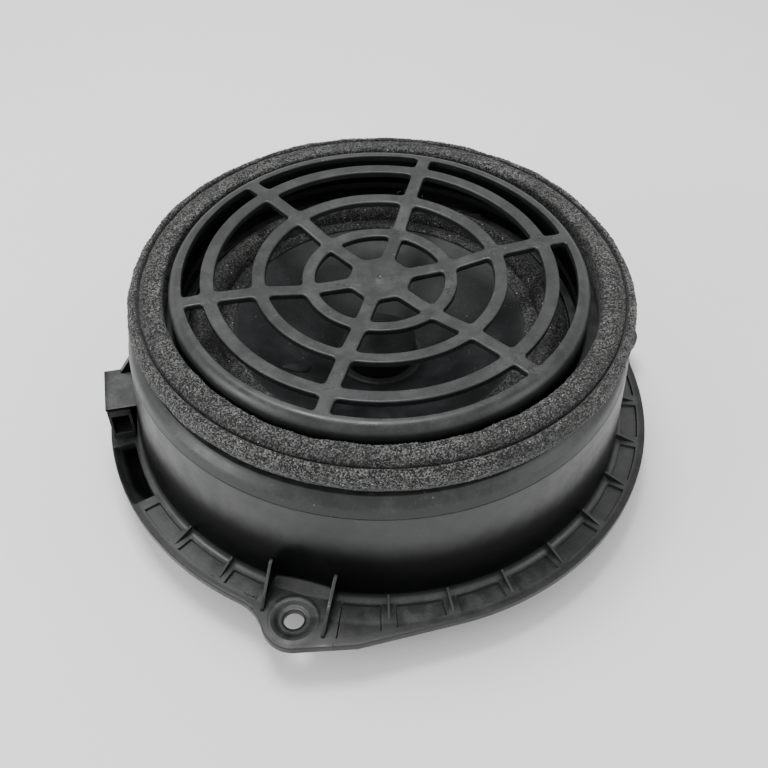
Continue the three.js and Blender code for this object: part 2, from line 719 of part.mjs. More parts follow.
/** A flexible tinsel lead from the board to the underside of the cone. */
function makeTinselLead(side) {
  const across = side * LEAD_OFFSET;
  const start = rimSeatZ - BOARD_H + SOLDER_RISE;
  const reach = Math.hypot(LEAD_CONE_R, across);
  const coneUnder = collarZ + coneSlope * (reach - COLLAR_R) - CONE_T * 1.6;
  return rod(
    [
      atConnector(boardU - GLUE, across, start),
      atConnector(boardU - 7, across, start - 1.6),
      atConnector(boardU - 17, across, start - 3),
      atConnector(LEAD_CONE_R + 10, across, start - 3.2),
      atConnector(LEAD_CONE_R + 3, across, coneUnder - 2.2),
      atConnector(LEAD_CONE_R, across, coneUnder - LEAD_R),
    ],
    LEAD_R,
    18,
    6,
  );
}

/** A hook-up wire from the board to one connector pin's tail. */
function makeHookupWire(side, pinZ) {
  const tail = pinBend + PIN_W / 2;
  const start = rimSeatZ - BOARD_H + SOLDER_RISE;
  return rod(
    [
      atConnector(boardU + BOARD_T + GLUE, side * LEAD_OFFSET, start),
      atConnector(boardU + BOARD_T + 4, side * LEAD_OFFSET, start - 1),
      atConnector(boardU + BOARD_T + 8.5, side * 3 - 4, (start + pinZ) / 2),
      atConnector(PIN_TAIL_INNER - 4, tail, pinZ + 0.6),
      atConnector(PIN_TAIL_INNER - 0.3, tail, pinZ),
    ],
    WIRE_R,
    14,
    6,
  );
}

// ---------------------------------------------------------------- basket

const screwAzimuth = (i) => CONNECTOR_AZIMUTH + 45 + (i * 360) / SCREW_COUNT;
const rivetAzimuth = (i) => CONNECTOR_AZIMUTH + 45 + (i * 360) / RIVET_COUNT;

function makeBasket() {
  const seat = spiderSeatZ;
  const seatOuterR = BASKET_BASE_R + SPIDER_SEAT_W;
  let body = turned([
    [plateBoreR + 1, basketZ],
    [BASKET_BASE_R, basketZ],
    [BASKET_BASE_R, seat - BASKET_T],
    [seatOuterR + 0.8, seat - BASKET_T],
    [BASKET_MOUTH_R + BASKET_T, rimSeatZ - 2.4],
    [BASKET_MOUTH_R + BASKET_T, rimSeatZ],
    [BASKET_RIM_R, rimSeatZ],
    [BASKET_RIM_R, rimTopZ],
    [BASKET_MOUTH_R, rimTopZ],
    [BASKET_MOUTH_R, rimSeatZ - 0.8],
    [seatOuterR, seat],
    [BASKET_BASE_R - BASKET_T, seat],
    [BASKET_BASE_R - BASKET_T, basketZ + BASKET_BASE_T],
    [plateBoreR + 1, basketZ + BASKET_BASE_T],
  ]);
  const windowInner = seatOuterR + WINDOW_FOOT_W;
  const windowOuter = BASKET_MOUTH_R - WINDOW_TOP_W;
  const step = 360 / LEG_COUNT;
  for (let i = 0; i < LEG_COUNT; i++) {
    const mid = CONNECTOR_AZIMUTH + (i + 0.5) * step;
    const [from, to] = [mid - step / 2, mid + step / 2];
    const opening = sector(windowInner, windowOuter, from, to, seat - 5, rimSeatZ + 1, 8);
    const legs = [-1, 1].map((side) =>
      turnedBox([0, -LEG_WIDTH / 2, 0], [100, LEG_WIDTH / 2, grilleZ], mid + (side * step) / 2),
    );
    body = body.subtract(cutBy(opening, ...legs));
  }
  for (let i = 0; i < RIVET_COUNT; i++) {
    const [x, y] = polar(RIVET_CIRCLE_R, rivetAzimuth(i));
    const hole = RIVET_R + RIVET_CLEARANCE;
    body = body.subtract(post(x, y, hole, basketZ - 1, basketZ + BASKET_BASE_T + 1));
  }
  for (let i = 0; i < SCREW_COUNT; i++) {
    const [x, y] = polar(SCREW_CIRCLE_R, screwAzimuth(i));
    body = body.subtract(post(x, y, SCREW_R + SCREW_CLEARANCE, rimSeatZ - 1, rimTopZ + 1, 12));
  }
  return body;
}

function makeBasketScrew(i) {
  const [x, y] = polar(SCREW_CIRCLE_R, screwAzimuth(i));
  const head = rimTopZ + GLUE;
  return joined(
    post(x, y, SCREW_R, shelfZ - SCREW_LENGTH + 1.2, head + 0.5, 12),
    post(x, y, SCREW_HEAD_R, head, head + SCREW_HEAD_H, 12),
  );
}

/** A rivet that holds the basket's base to the top plate. */
function makePlateRivet(i) {
  const [x, y] = polar(RIVET_CIRCLE_R, rivetAzimuth(i));
  const head = basketZ + BASKET_BASE_T + GLUE;
  return joined(
    post(x, y, RIVET_R, topPlateZ + 1, head + 0.5, 12),
    post(x, y, RIVET_R + RIVET_HEAD_LAP, head, head + RIVET_HEAD_H, 12),
  );
}

// ---------------------------------------------------------------- motor

function makeBackPlate() {
  return turned(
    [
      [0, 0],
      [BACK_PLATE_R - 0.8, 0],
      [BACK_PLATE_R, 0.8],
      [BACK_PLATE_R, BACK_PLATE_T],
      [POLE_R, BACK_PLATE_T],
      [POLE_R, topPlateZ + TOP_PLATE_T + POLE_RISE - 0.8],
      [POLE_R - 0.8, topPlateZ + TOP_PLATE_T + POLE_RISE],
      [0, topPlateZ + TOP_PLATE_T + POLE_RISE],
    ],
    COARSE,
  );
}

const makeMagnet = () => ring(MAGNET_BORE_R, MAGNET_R, magnetZ, magnetZ + MAGNET_T, COARSE);

function makeTopPlate() {
  let body = ring(plateBoreR, TOP_PLATE_R, topPlateZ, topPlateZ + TOP_PLATE_T, COARSE);
  for (let i = 0; i < RIVET_COUNT; i++) {
    const [x, y] = polar(RIVET_CIRCLE_R, rivetAzimuth(i));
    const hole = RIVET_R + RIVET_CLEARANCE;
    body = body.subtract(post(x, y, hole, topPlateZ + 0.7, topPlateZ + TOP_PLATE_T + 1));
  }
  return body;
}

// ---------------------------------------------------------------- moving parts

function makeCone() {
  const edge = CONE_R - CONE_LIP;
  return turned([
    [coneNeckR, coneNeckZ - CONE_T],
    [edge, coneEdgeZ - CONE_T],
    [CONE_R, coneEdgeZ - CONE_T],
    [CONE_R, coneEdgeZ],
    [edge, coneEdgeZ],
    [COLLAR_R, collarZ],
    [coneNeckR + COLLAR_T, coneNeckZ + COLLAR_H],
    [coneNeckR, coneNeckZ + COLLAR_H],
  ]);
}

/** A domed cap of even thickness whose skirt fits over the top of the coil former. */
function makeDustCap() {
  const innerR = formerOuterR + GLUE;
  const outerR = innerR + CAP_T;
  const sphereR = (outerR ** 2 + CAP_RISE ** 2) / (2 * CAP_RISE);
  const overFormer = Math.sqrt((sphereR - CAP_T) ** 2 - formerOuterR ** 2);
  const atBrim = Math.sqrt(sphereR ** 2 - outerR ** 2);
  const brim = formerTopZ + CAP_CLEARANCE + atBrim - overFormer;
  const centre = brim + CAP_RISE - sphereR;
  const lean = (r, z) => THREE.MathUtils.radToDeg(Math.atan2(z - centre, r));
  const outer = arc(sphereR, lean(outerR, brim), 90, CAP_STEPS, 0, centre);
  const innerBrim = centre + Math.sqrt((sphereR - CAP_T) ** 2 - innerR ** 2);
  const inner = arc(sphereR - CAP_T, 90, lean(innerR, innerBrim), CAP_STEPS, 0, centre);
  outer[CAP_STEPS][0] = 0;
  inner[0][0] = 0;
  return turned([[outerR, brim - CAP_SKIRT], ...outer, ...inner, [innerR, brim - CAP_SKIRT]], COARSE);
}

/** A thin corrugated disc from the coil former to its seat in the basket. */
function makeSpider() {
  const innerR = formerOuterR + GLUE;
  const low = spiderSeatZ + GLUE;
  const waveStart = innerR + 2;
  const waveEnd = spiderOuterR - SPIDER_SEAT_W;
  const steps = SPIDER_WAVES * 2;
  const middle = Array.from({ length: steps + 1 }, (_, i) => {
    const t = i / steps;
    const lift = SPIDER_WAVE_H * (0.5 - 0.5 * Math.cos(2 * Math.PI * SPIDER_WAVES * t));
    return [waveStart + (waveEnd - waveStart) * t, low + lift];
  });
  const under = [[innerR, low], ...middle, [spiderOuterR, low]];
  const over = under.map(([r, z]) => [r, z + SPIDER_T]).reverse();
  return turned([...under, ...over], COARSE);
}

/** A half-roll edge between the cone's lip and the basket's rim. */
function makeSurround() {
  const low = rimTopZ + GLUE;
  const mid = (rollInnerR + ROLL_OUTER_R) / 2;
  const half = (ROLL_OUTER_R - rollInnerR) / 2;
  const rise = (r, height, halfWidth) =>
    height * Math.sqrt(Math.max(0, 1 - ((r - mid) / halfWidth) ** 2));
  const angles = Array.from({ length: ROLL_STEPS + 1 }, (_, i) => Math.PI * (1 - i / ROLL_STEPS));
  const outside = angles.map((a) => {
    const r = mid + half * Math.cos(a);
    return [r, low + SURROUND_T + rise(r, ROLL_H, half)];
  });
  const inside = angles.map((a) => {
    const r = mid + (half - SURROUND_T) * Math.cos(a);
    return [r, low + rise(r, ROLL_H, half - SURROUND_T)];
  });
  const lipR = CONE_R - CONE_LIP + 0.3;
  return turned([
    [lipR, coneEdgeZ + GLUE],
    ...outside.map(([r, z]) => [r, z + (r < mid ? lipLift(r) : 0)]),
    [CLAMP_RING_R, low + SURROUND_T],
    [CLAMP_RING_R, low],
    ...inside.map(([r, z]) => [r, z + (r < mid ? lipLift(r) - 0.01 : 0)]).reverse(),
    [CONE_R + 0.4, coneEdgeZ + GLUE - 0.6],
    [CONE_R + 0.4, coneEdgeZ + 0.1],
    [lipR, coneEdgeZ + 0.1],
  ]);
}

/** Raises the roll's inner foot from the rim's level to the top of the cone's lip. */
function lipLift(radius) {
  const t = (radius - rollInnerR) / ((ROLL_OUTER_R - rollInnerR) / 2);
  return (coneEdgeZ + GLUE - (rimTopZ + GLUE + SURROUND_T)) * (1 - t);
}

const makeClampRing = () =>
  ring(
    ROLL_OUTER_R + 0.8,
    CLAMP_RING_R - 0.4,
    rimTopZ + GLUE + SURROUND_T + GLUE,
    rimTopZ + GLUE + SURROUND_T + GLUE + CLAMP_RING_T,
  );

const makeCoilFormer = () =>
  ring(formerInnerR, formerOuterR, coilMidZ - COIL_H / 2 - 0.5, formerTopZ, COARSE);

const makeVoiceCoil = () =>
  ring(coilInnerR, coilOuterR, coilMidZ - COIL_H / 2, coilMidZ + COIL_H / 2, COARSE);

// ---------------------------------------------------------------- assembly

const finish = {
  housing: { color: 0x2b2d2f, roughness: 0.55, metalness: 0 },
  grille: { color: 0x323537, roughness: 0.5, metalness: 0 },
  foam: { color: 0x2a2a2a, roughness: 0.95, metalness: 0 },
  connector: { color: 0x1c1d1e, roughness: 0.6, metalness: 0 },
  brass: { color: 0xb08d4a, roughness: 0.35, metalness: 1 },
  basket: { color: 0x1e2022, roughness: 0.55, metalness: 0 },
  steel: { color: 0x9a9c9e, roughness: 0.4, metalness: 1 },
  ferrite: { color: 0x3c3c3e, roughness: 0.8, metalness: 0 },
  cone: { color: 0x2c2e31, roughness: 0.7, metalness: 0 },
  surround: { color: 0x262626, roughness: 0.85, metalness: 0 },
  spider: { color: 0xb79a5b, roughness: 0.9, metalness: 0 },
  former: { color: 0x8a5a2a, roughness: 0.5, metalness: 0 },
  copper: { color: 0xb5673a, roughness: 0.35, metalness: 1 },
  board: { color: 0x6a5230, roughness: 0.7, metalness: 0 },
  tinsel: { color: 0xc0a878, roughness: 0.5, metalness: 0 },
  wireRed: { color: 0x8a1f1c, roughness: 0.5, metalness: 0 },
  wireBrown: { color: 0x4a2f20, roughness: 0.5, metalness: 0 },
};

const speaker = new THREE.Group();
const fixedParts = new THREE.Group();
const coneAssembly = new THREE.Group();
speaker.add(fixedParts, coneAssembly);

/** Adds one named part, from a solid or a geometry, to a group. */
function place(group, name, body, look) {
  const geometry = body.isBufferGeometry ? body : geometryOf(body);
  const mesh = new THREE.Mesh(geometry, new THREE.MeshStandardMaterial(finish[look]));
  mesh.name = name;
  group.add(mesh);
}

place(fixedParts, "housing", makeHousing(), "housing");
place(fixedParts, "grille_cover", makeGrilleCover(), "grille");
place(fixedParts, "foam_gasket", makeFoamGasket(), "foam");
place(fixedParts, "flange_seal", makeFlangeSeal(), "foam");
place(fixedParts, "connector_shell", makeConnectorShell(), "connector");
pinHeights.forEach((z, i) => place(fixedParts, `terminal_pin_${i + 1}`, makeTerminalPin(z), "brass"));
place(fixedParts, "driver_basket", makeBasket(), "basket");
for (let i = 0; i < SCREW_COUNT; i++) {
  place(fixedParts, `basket_screw_${i + 1}`, makeBasketScrew(i), "steel");
}
for (let i = 0; i < RIVET_COUNT; i++) {
  place(fixedParts, `plate_rivet_${i + 1}`, makePlateRivet(i), "steel");
}
place(fixedParts, "clamp_ring", makeClampRing(), "basket");
place(fixedParts, "top_plate", makeTopPlate(), "steel");
place(fixedParts, "magnet", makeMagnet(), "ferrite");
place(fixedParts, "back_plate", makeBackPlate(), "steel");
place(fixedParts, "terminal_board", makeTerminalBoard(), "board");
[-1, 1].forEach((side, i) => {
  place(fixedParts, `tinsel_lead_${i + 1}`, makeTinselLead(side), "tinsel");
  const look = ["wireRed", "wireBrown"][i];
  place(fixedParts, `hookup_wire_${i + 1}`, makeHookupWire(side, pinHeights[1 - i]), look);
});
place(fixedParts, "surround", makeSurround(), "surround");
place(fixedParts, "spider", makeSpider(), "spider");
place(coneAssembly, "cone", makeCone(), "cone");
place(coneAssembly, "dust_cap", makeDustCap(), "cone");
place(coneAssembly, "coil_former", makeCoilFormer(), "former");
place(coneAssembly, "voice_coil", makeVoiceCoil(), "copper");

export default speaker;
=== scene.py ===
"""The looks of a round in-door car loudspeaker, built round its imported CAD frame.

Lengths are in millimetres and azimuths in degrees, counter-clockwise from +X seen from the
front, until a mesh is made in metres. +Z is forward, through the grille, and the origin is the
centre of the motor's flat rear face.
"""

import logging
from collections.abc import Callable, Sequence
from dataclasses import dataclass, field
from enum import Enum

import bmesh
import bpy
import numpy as np
from mathutils import Matrix, Vector


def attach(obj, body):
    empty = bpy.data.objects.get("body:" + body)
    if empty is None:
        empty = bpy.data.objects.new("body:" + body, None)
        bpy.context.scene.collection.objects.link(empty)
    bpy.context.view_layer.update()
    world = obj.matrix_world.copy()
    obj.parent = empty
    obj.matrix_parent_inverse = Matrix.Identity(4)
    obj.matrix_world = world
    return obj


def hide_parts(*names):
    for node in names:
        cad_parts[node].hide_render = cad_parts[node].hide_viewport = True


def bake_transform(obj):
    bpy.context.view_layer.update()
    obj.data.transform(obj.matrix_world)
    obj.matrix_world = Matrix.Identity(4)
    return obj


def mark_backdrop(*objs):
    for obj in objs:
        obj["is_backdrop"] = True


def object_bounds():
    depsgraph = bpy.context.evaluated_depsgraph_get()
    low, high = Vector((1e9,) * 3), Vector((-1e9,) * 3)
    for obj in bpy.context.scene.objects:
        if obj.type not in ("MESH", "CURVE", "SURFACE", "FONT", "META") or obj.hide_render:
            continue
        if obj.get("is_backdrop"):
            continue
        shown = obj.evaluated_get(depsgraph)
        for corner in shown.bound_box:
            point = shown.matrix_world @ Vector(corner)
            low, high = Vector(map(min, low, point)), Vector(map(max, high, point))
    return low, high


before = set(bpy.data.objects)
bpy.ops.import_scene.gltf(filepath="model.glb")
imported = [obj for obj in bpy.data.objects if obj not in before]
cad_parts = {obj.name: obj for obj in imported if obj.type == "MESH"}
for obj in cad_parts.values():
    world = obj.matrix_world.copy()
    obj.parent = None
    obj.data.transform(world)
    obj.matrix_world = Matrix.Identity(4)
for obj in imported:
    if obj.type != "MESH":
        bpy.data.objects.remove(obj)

LOG = logging.getLogger("speaker")
MM = 0.001

Socket = bpy.types.NodeSocket
Profile = np.ndarray
Place = Callable[[np.ndarray], np.ndarray]


class Body(Enum):
    """The rigid bodies of the frame."""

    HOUSING = "housing"
    CONE = "cone_assembly"


# ---------------------------------------------------------------- curves and grids


def smooth(value: np.ndarray, low: float, high: float) -> np.ndarray:
    """Rises from 0 at low to 1 at high with level ends (3t^2 - 2t^3)."""
    t = np.clip((value - low) / (high - low), 0.0, 1.0)
    return t * t * (3.0 - 2.0 * t)


def polar(radius: np.ndarray | float, azimuth: np.ndarray | float) -> np.ndarray:
    """Points [x, y] at a radius and an azimuth."""
    a = np.radians(azimuth)
    return np.stack([radius * np.cos(a), radius * np.sin(a)], axis=-1)


def rounded(
    points: Sequence[Sequence[float]],
    radii: Sequence[float],
    steps: int = 4,
    closed: bool = True,
) -> Profile:
    """Rounds the corners of a polyline.

    Each corner gives way to a parabola that leaves its sides one radius before the corner and
    joins them one radius after it.

    Args:
        points: Corners of the polyline.
        radii: Rounding of each corner; 0 keeps it sharp.
        steps: Segments in each rounding.
        closed: Whether the last point joins the first.

    Returns:
        The rounded polyline, one point a row.
    """
    corners = np.asarray(points, float)
    made = []
    count = len(corners)
    for i, (corner, radius) in enumerate(zip(corners, radii)):
        if radius <= 0 or (not closed and i in (0, count - 1)):
            made.append(corner[None])
            continue
        ends = []
        for other in (corners[i - 1], corners[(i + 1) % count]):
            side = other - corner
            length = np.linalg.norm(side)
            ends.append(corner + side / length * min(radius, 0.45 * length))
        t = np.linspace(0, 1, steps + 1)[:, None]
        made.append((1 - t) ** 2 * ends[0] + 2 * t * (1 - t) * corner + t**2 * ends[1])
    return np.concatenate(made)


def refined(profile: Profile, step: float, closed: bool = True) -> Profile:
    """Adds points so that no side of a polyline is longer than step."""
    following = np.roll(profile, -1, axis=0) if closed else profile[1:]
    made = []
    for a, b in zip(profile, following):
        count = max(1, int(np.ceil(np.linalg.norm(b - a) / step)))
        t = np.arange(count)[:, None] / count
        made.append(a + (b - a) * t)
    if not closed:
        made.append(profile[-1:])
    return np.concatenate(made)


def around(count: int, start: float = 0.0) -> np.ndarray:
    """Evenly spaced azimuths of a whole turn."""
    return start + np.arange(count) * 360.0 / count


def revolved(profile: Profile, azimuths: np.ndarray) -> np.ndarray:
    """A grid of points: each [radius, height] row turned to each azimuth."""
    a = np.radians(azimuths)[None, :]
    r, z = profile[:, :1], profile[:, 1:2]
    return np.stack([r * np.cos(a), r * np.sin(a), z + 0 * a], axis=-1)


def swept(path: Sequence[Sequence[float]], radius: float, steps: int, sides: int) -> np.ndarray:
    """A round tube's grid along a Catmull-Rom curve through the path's points.

    The section's frame is carried along the curve by removing, at each step, the part of the
    last frame's side that leans along the new direction.
    """
    p = np.asarray(path, float)
    p = np.concatenate([[2 * p[0] - p[1]], p, [2 * p[-1] - p[-2]]])
    t = np.linspace(0, 1, steps, endpoint=False)[:, None]
    spans = []
    for a, b, c, d in zip(p[:-3], p[1:-2], p[2:-1], p[3:]):
        square, cube = 2 * a - 5 * b + 4 * c - d, 3 * b - a - 3 * c + d
        spans.append(0.5 * (2 * b + (c - a) * t + square * t**2 + cube * t**3))
    line = np.concatenate([*spans, p[-2:-1]])
    ahead = np.gradient(line, axis=0)
    ahead /= np.linalg.norm(ahead, axis=1, keepdims=True)
    side = np.cross(ahead[0], [0.31, 0.2, 0.93])
    turns = np.radians(around(sides))
    rings = []
    for point, direction in zip(line, ahead):
        side = side - direction * (side @ direction)
        side /= np.linalg.norm(side)
        other = np.cross(direction, side)
        rings.append(
            point + radius * (np.cos(turns)[:, None] * side + np.sin(turns)[:, None] * other)
        )
    return np.stack(rings)


def standing(azimuth: float, offset: float = 0.0) -> Place:
    """Maps [out, height, thickness] to a plate that stands along an azimuth."""
    a = np.radians(azimuth)

    def place(points: np.ndarray) -> np.ndarray:
        out, height, across = np.moveaxis(points, -1, 0)
        across = across + offset
        return np.stack(
            [out * np.cos(a) - across * np.sin(a), out * np.sin(a) + across * np.cos(a), height],
            axis=-1,
        )

    return place


def flat(azimuth: float) -> Place:
    """Maps [out, across, height] to the frame's axes."""
    upright = standing(azimuth)
    return lambda points: upright(points[..., [0, 2, 1]])


class Shell:
    """Closed grids of quads, gathered to make one mesh."""

    def __init__(self) -> None:
        self.points: list[np.ndarray] = []
        self.faces: list[list[int]] = []
        self.count = 0

    def grid(self, points: np.ndarray, rows_closed: bool, columns_closed: bool = True) -> None:
        """Adds an (n, m, 3) grid; either direction can close on itself."""
        n, m = points.shape[:2]
        index = np.arange(n * m).reshape(n, m) + self.count
        if rows_closed:
            index = np.concatenate([index, index[:1]])
        if columns_closed:
            index = np.concatenate([index, index[:, :1]], axis=1)
        quads = np.stack([index[:-1, :-1], index[1:, :-1], index[1:, 1:], index[:-1, 1:]], axis=-1)
        self.faces += quads.reshape(-1, 4).tolist()
        self.points.append(points.reshape(-1, 3))
        self.count += n * m

    def tube(self, points: np.ndarray) -> None:
        """Adds a grid closed across its columns, with a flat face at each end."""
        first = self.count
        n, m = points.shape[:2]
        self.grid(points, rows_closed=False)
        self.faces.append(list(range(first + m - 1, first - 1, -1)))
        self.faces.append(list(range(first + (n - 1) * m, first + n * m)))

    def turned(
        self, corners: Sequence[Sequence[float]], radii: Sequence[float] | float, count: int = 192
    ) -> None:
        """Adds a solid of revolution with rounded corners."""
        if isinstance(radii, (int, float)):
            radii = [radii] * len(corners)
        self.grid(revolved(rounded(corners, radii), around(count)), rows_closed=True)

    def slab(
        self, outline: np.ndarray, low: float, high: float, edge: float, place: Place
    ) -> None:
        """Adds a plate with rounded edges.

        Each level of the edge moves the outline in along its mean normals by 1 - sin of the
        level's angle, while its height follows 1 - cos.
        """
        side = np.roll(outline, -1, axis=0) - np.roll(outline, 1, axis=0)
        inward = np.stack([-side[:, 1], side[:, 0]], axis=-1)
        inward /= np.linalg.norm(inward, axis=1, keepdims=True)
        x, y = outline.T
        if np.sum(x * np.roll(y, -1) - y * np.roll(x, -1)) < 0:
            inward = -inward
        angles = np.radians([0, 30, 60, 90])
        insets = edge * (1 - np.sin(angles))
        rises = edge * (1 - np.cos(angles))
        levels = [(i, low + r) for i, r in zip(insets, rises)]
        levels += [(i, high - r) for i, r in zip(insets[::-1], rises[::-1])]
        rings = [
            np.column_stack([outline + inward * i, np.full(len(outline), h)]) for i, h in levels
        ]
        self.tube(place(np.stack(rings)))

    def box(
        self, low: Sequence[float], high: Sequence[float], place: Place, edge: float = 0.25
    ) -> None:
        """Adds a block with rounded edges, between two opposite corners."""
        corners = [(low[0], low[1]), (high[0], low[1]), (high[0], high[1]), (low[0], high[1])]
        self.slab(rounded(corners, [edge] * 4, 3), low[2], high[2], edge, place)

    def build(self, name: str, crease: float = 38.0) -> bpy.types.Object:
        """Makes the object: joins touching grids, turns faces outward and shades it.

        Args:
            name: The new object's name.
            crease: Edges that turn by more than this many degrees stay sharp.
        """
        mesh = bpy.data.meshes.new(name)
        vertices = np.concatenate(self.points) * MM
        mesh.from_pydata(vertices.tolist(), [], self.faces)
        shape = bmesh.new()
        shape.from_mesh(mesh)
        bmesh.ops.remove_doubles(shape, verts=shape.verts, dist=2e-6)
        bmesh.ops.dissolve_degenerate(shape, edges=shape.edges, dist=1e-7)
        bmesh.ops.recalc_face_normals(shape, faces=shape.faces)
        for face in shape.faces:
            face.smooth = True
        shape.to_mesh(mesh)
        shape.free()
        mesh.set_sharp_from_angle(angle=np.radians(crease))
        made = bpy.data.objects.new(name, mesh)
        bpy.context.collection.objects.link(made)
        return made


@dataclass(frozen=True)
class Window:
    """One cell of a ring of windows between straight bars.

    The cell reaches from inner_edge to outer_edge and from one bar's centre line to the next;
    its window reaches from inner to outer, beside bars of the given width.
    """

    inner_edge: float
    inner: float
    outer: float
    outer_edge: float
    bar: float
    corner: float
    straight_inside: bool = False

    SIDE = np.array([0.0, 0.035, 0.07, *np.linspace(0.12, 0.88, 15), 0.93, 0.965, 1.0])
    TURN = 3

    def cell_loop(self, half: float) -> np.ndarray:
        """The cell's boundary: out along one bar, round, back along the other, and round."""
        t = self.SIDE[:-1]
        r = self.inner_edge + (self.outer_edge - self.inner_edge) * t
        a = half * (2 * t - 1)
        return np.concatenate(
            [
                polar(r, -half),
                polar(self.outer_edge, a),
                polar(self.inner_edge + self.outer_edge - r, half),
                polar(self.inner_edge, -a),
            ]
        )

    def sides(self, half: float) -> list[np.ndarray]:
        """The window's four sides, each sampled at SIDE's shares of its length."""
        t = self.SIDE
        lean = lambda r: half - np.degrees(np.arcsin(self.bar / 2 / r))
        start = self.inner
        if self.straight_inside:
            h = np.radians(half)
            along = (self.inner - self.bar / 2 * np.sin(h)) / np.cos(h)
            start = float(np.hypot(along, self.bar / 2))
        r = start + (self.outer - start) * t
        out = polar(r, -lean(r))
        far = polar(self.outer, lean(self.outer) * (2 * t - 1))
        back = polar(r[::-1], lean(r[::-1]))
        near = polar(start, lean(start) * (1 - 2 * t))
        if self.straight_inside:
            near = back[-1] + (out[0] - back[-1]) * t[:, None]
        return [out, far, back, near]

    def window_loop(self, half: float) -> np.ndarray:
        """The window's outline, point for point with cell_loop, with its corners rounded.

        The points next to each corner slide along a parabola between the ends of the rounding.
        """
        sides = self.sides(half)
        loop = []
        for i, side in enumerate(sides):
            length = np.linalg.norm(side[-1] - side[0])
            cut = min(self.corner / length, 0.3)
            inside = cut + (1 - 2 * cut) * (self.SIDE - self.SIDE[3]) / (1 - 2 * self.SIDE[3])
            moved = np.stack([np.interp(inside, self.SIDE, side[:, k]) for k in (0, 1)], axis=-1)
            before, after = sides[i - 1], sides[(i + 1) % 4]
            moved[:4] = self.turn(before, side, upper=True)
            moved[-4:] = self.turn(side, after, upper=False)
            loop.append(moved[:-1])
        return np.concatenate(loop)

    def turn(self, before: np.ndarray, after: np.ndarray, upper: bool) -> np.ndarray:
        """Half of the rounding between two sides: its second half if upper, else its first."""
        lengths = [np.linalg.norm(s[-1] - s[0]) for s in (before, after)]
        cuts = [min(self.corner / length, 0.3) for length in lengths]
        start = np.array([np.interp(1 - cuts[0], self.SIDE, before[:, k]) for k in (0, 1)])
        end = np.array([np.interp(cuts[1], self.SIDE, after[:, k]) for k in (0, 1)])
        t = np.linspace(0, 0.5, self.TURN + 1)[:, None] + (0.5 if upper else 0.0)
        return (1 - t) ** 2 * start + 2 * t * (1 - t) * after[0] + t**2 * end

    def grid(
        self,
        middle: float,
        half: float,
        top: Callable[[np.ndarray], np.ndarray],
        thickness: float,
        edge: float,
    ) -> np.ndarray:
        """The cell's grid: in over the top, round the edge, down the wall and back below.

        Args:
            middle: Azimuth of the cell's middle.
            half: Half the angle between two bars.
            top: Height of the upper face at a radius.
            thickness: Between the upper and lower faces.
            edge: Rounding of the window's edges.
        """
        cell, window = self.cell_loop(half), self.window_loop(half)
        outward = cell - window
        outward /= np.linalg.norm(outward, axis=1, keepdims=True)
        lip = window + outward * edge
        rows = [(cell + (lip - cell) * s, 0.0) for s in (0, 0.3, 0.6, 0.85, 1)]
        for angle in np.radians([30, 60, 90]):
            rows.append((lip + (window - lip) * np.sin(angle), edge * (1 - np.cos(angle))))
        rows.append((window, thickness - edge * 0.5))
        rows.append((window + outward * edge * 0.5, thickness))
        rows += [(cell + (lip - cell) * s, thickness) for s in (0.6, 0)]
        turn = np.radians(middle)
        spin = np.array([[np.cos(turn), np.sin(turn)], [-np.sin(turn), np.cos(turn)]])
        made = []
        for flat_points, drop in rows:
            height = top(np.hypot(*flat_points.T)) - drop
            made.append(np.column_stack([flat_points @ spin, height]))
        return np.stack(made)

    @classmethod
    def edge_azimuths(cls, first: float, count: int) -> np.ndarray:
        """Azimuths of the cells' boundary points round the whole turn, from the first bar."""
        step = 360.0 / count
        return np.concatenate([first + step * (i + cls.SIDE[:-1]) for i in range(count)])


# ---------------------------------------------------------------- finishes


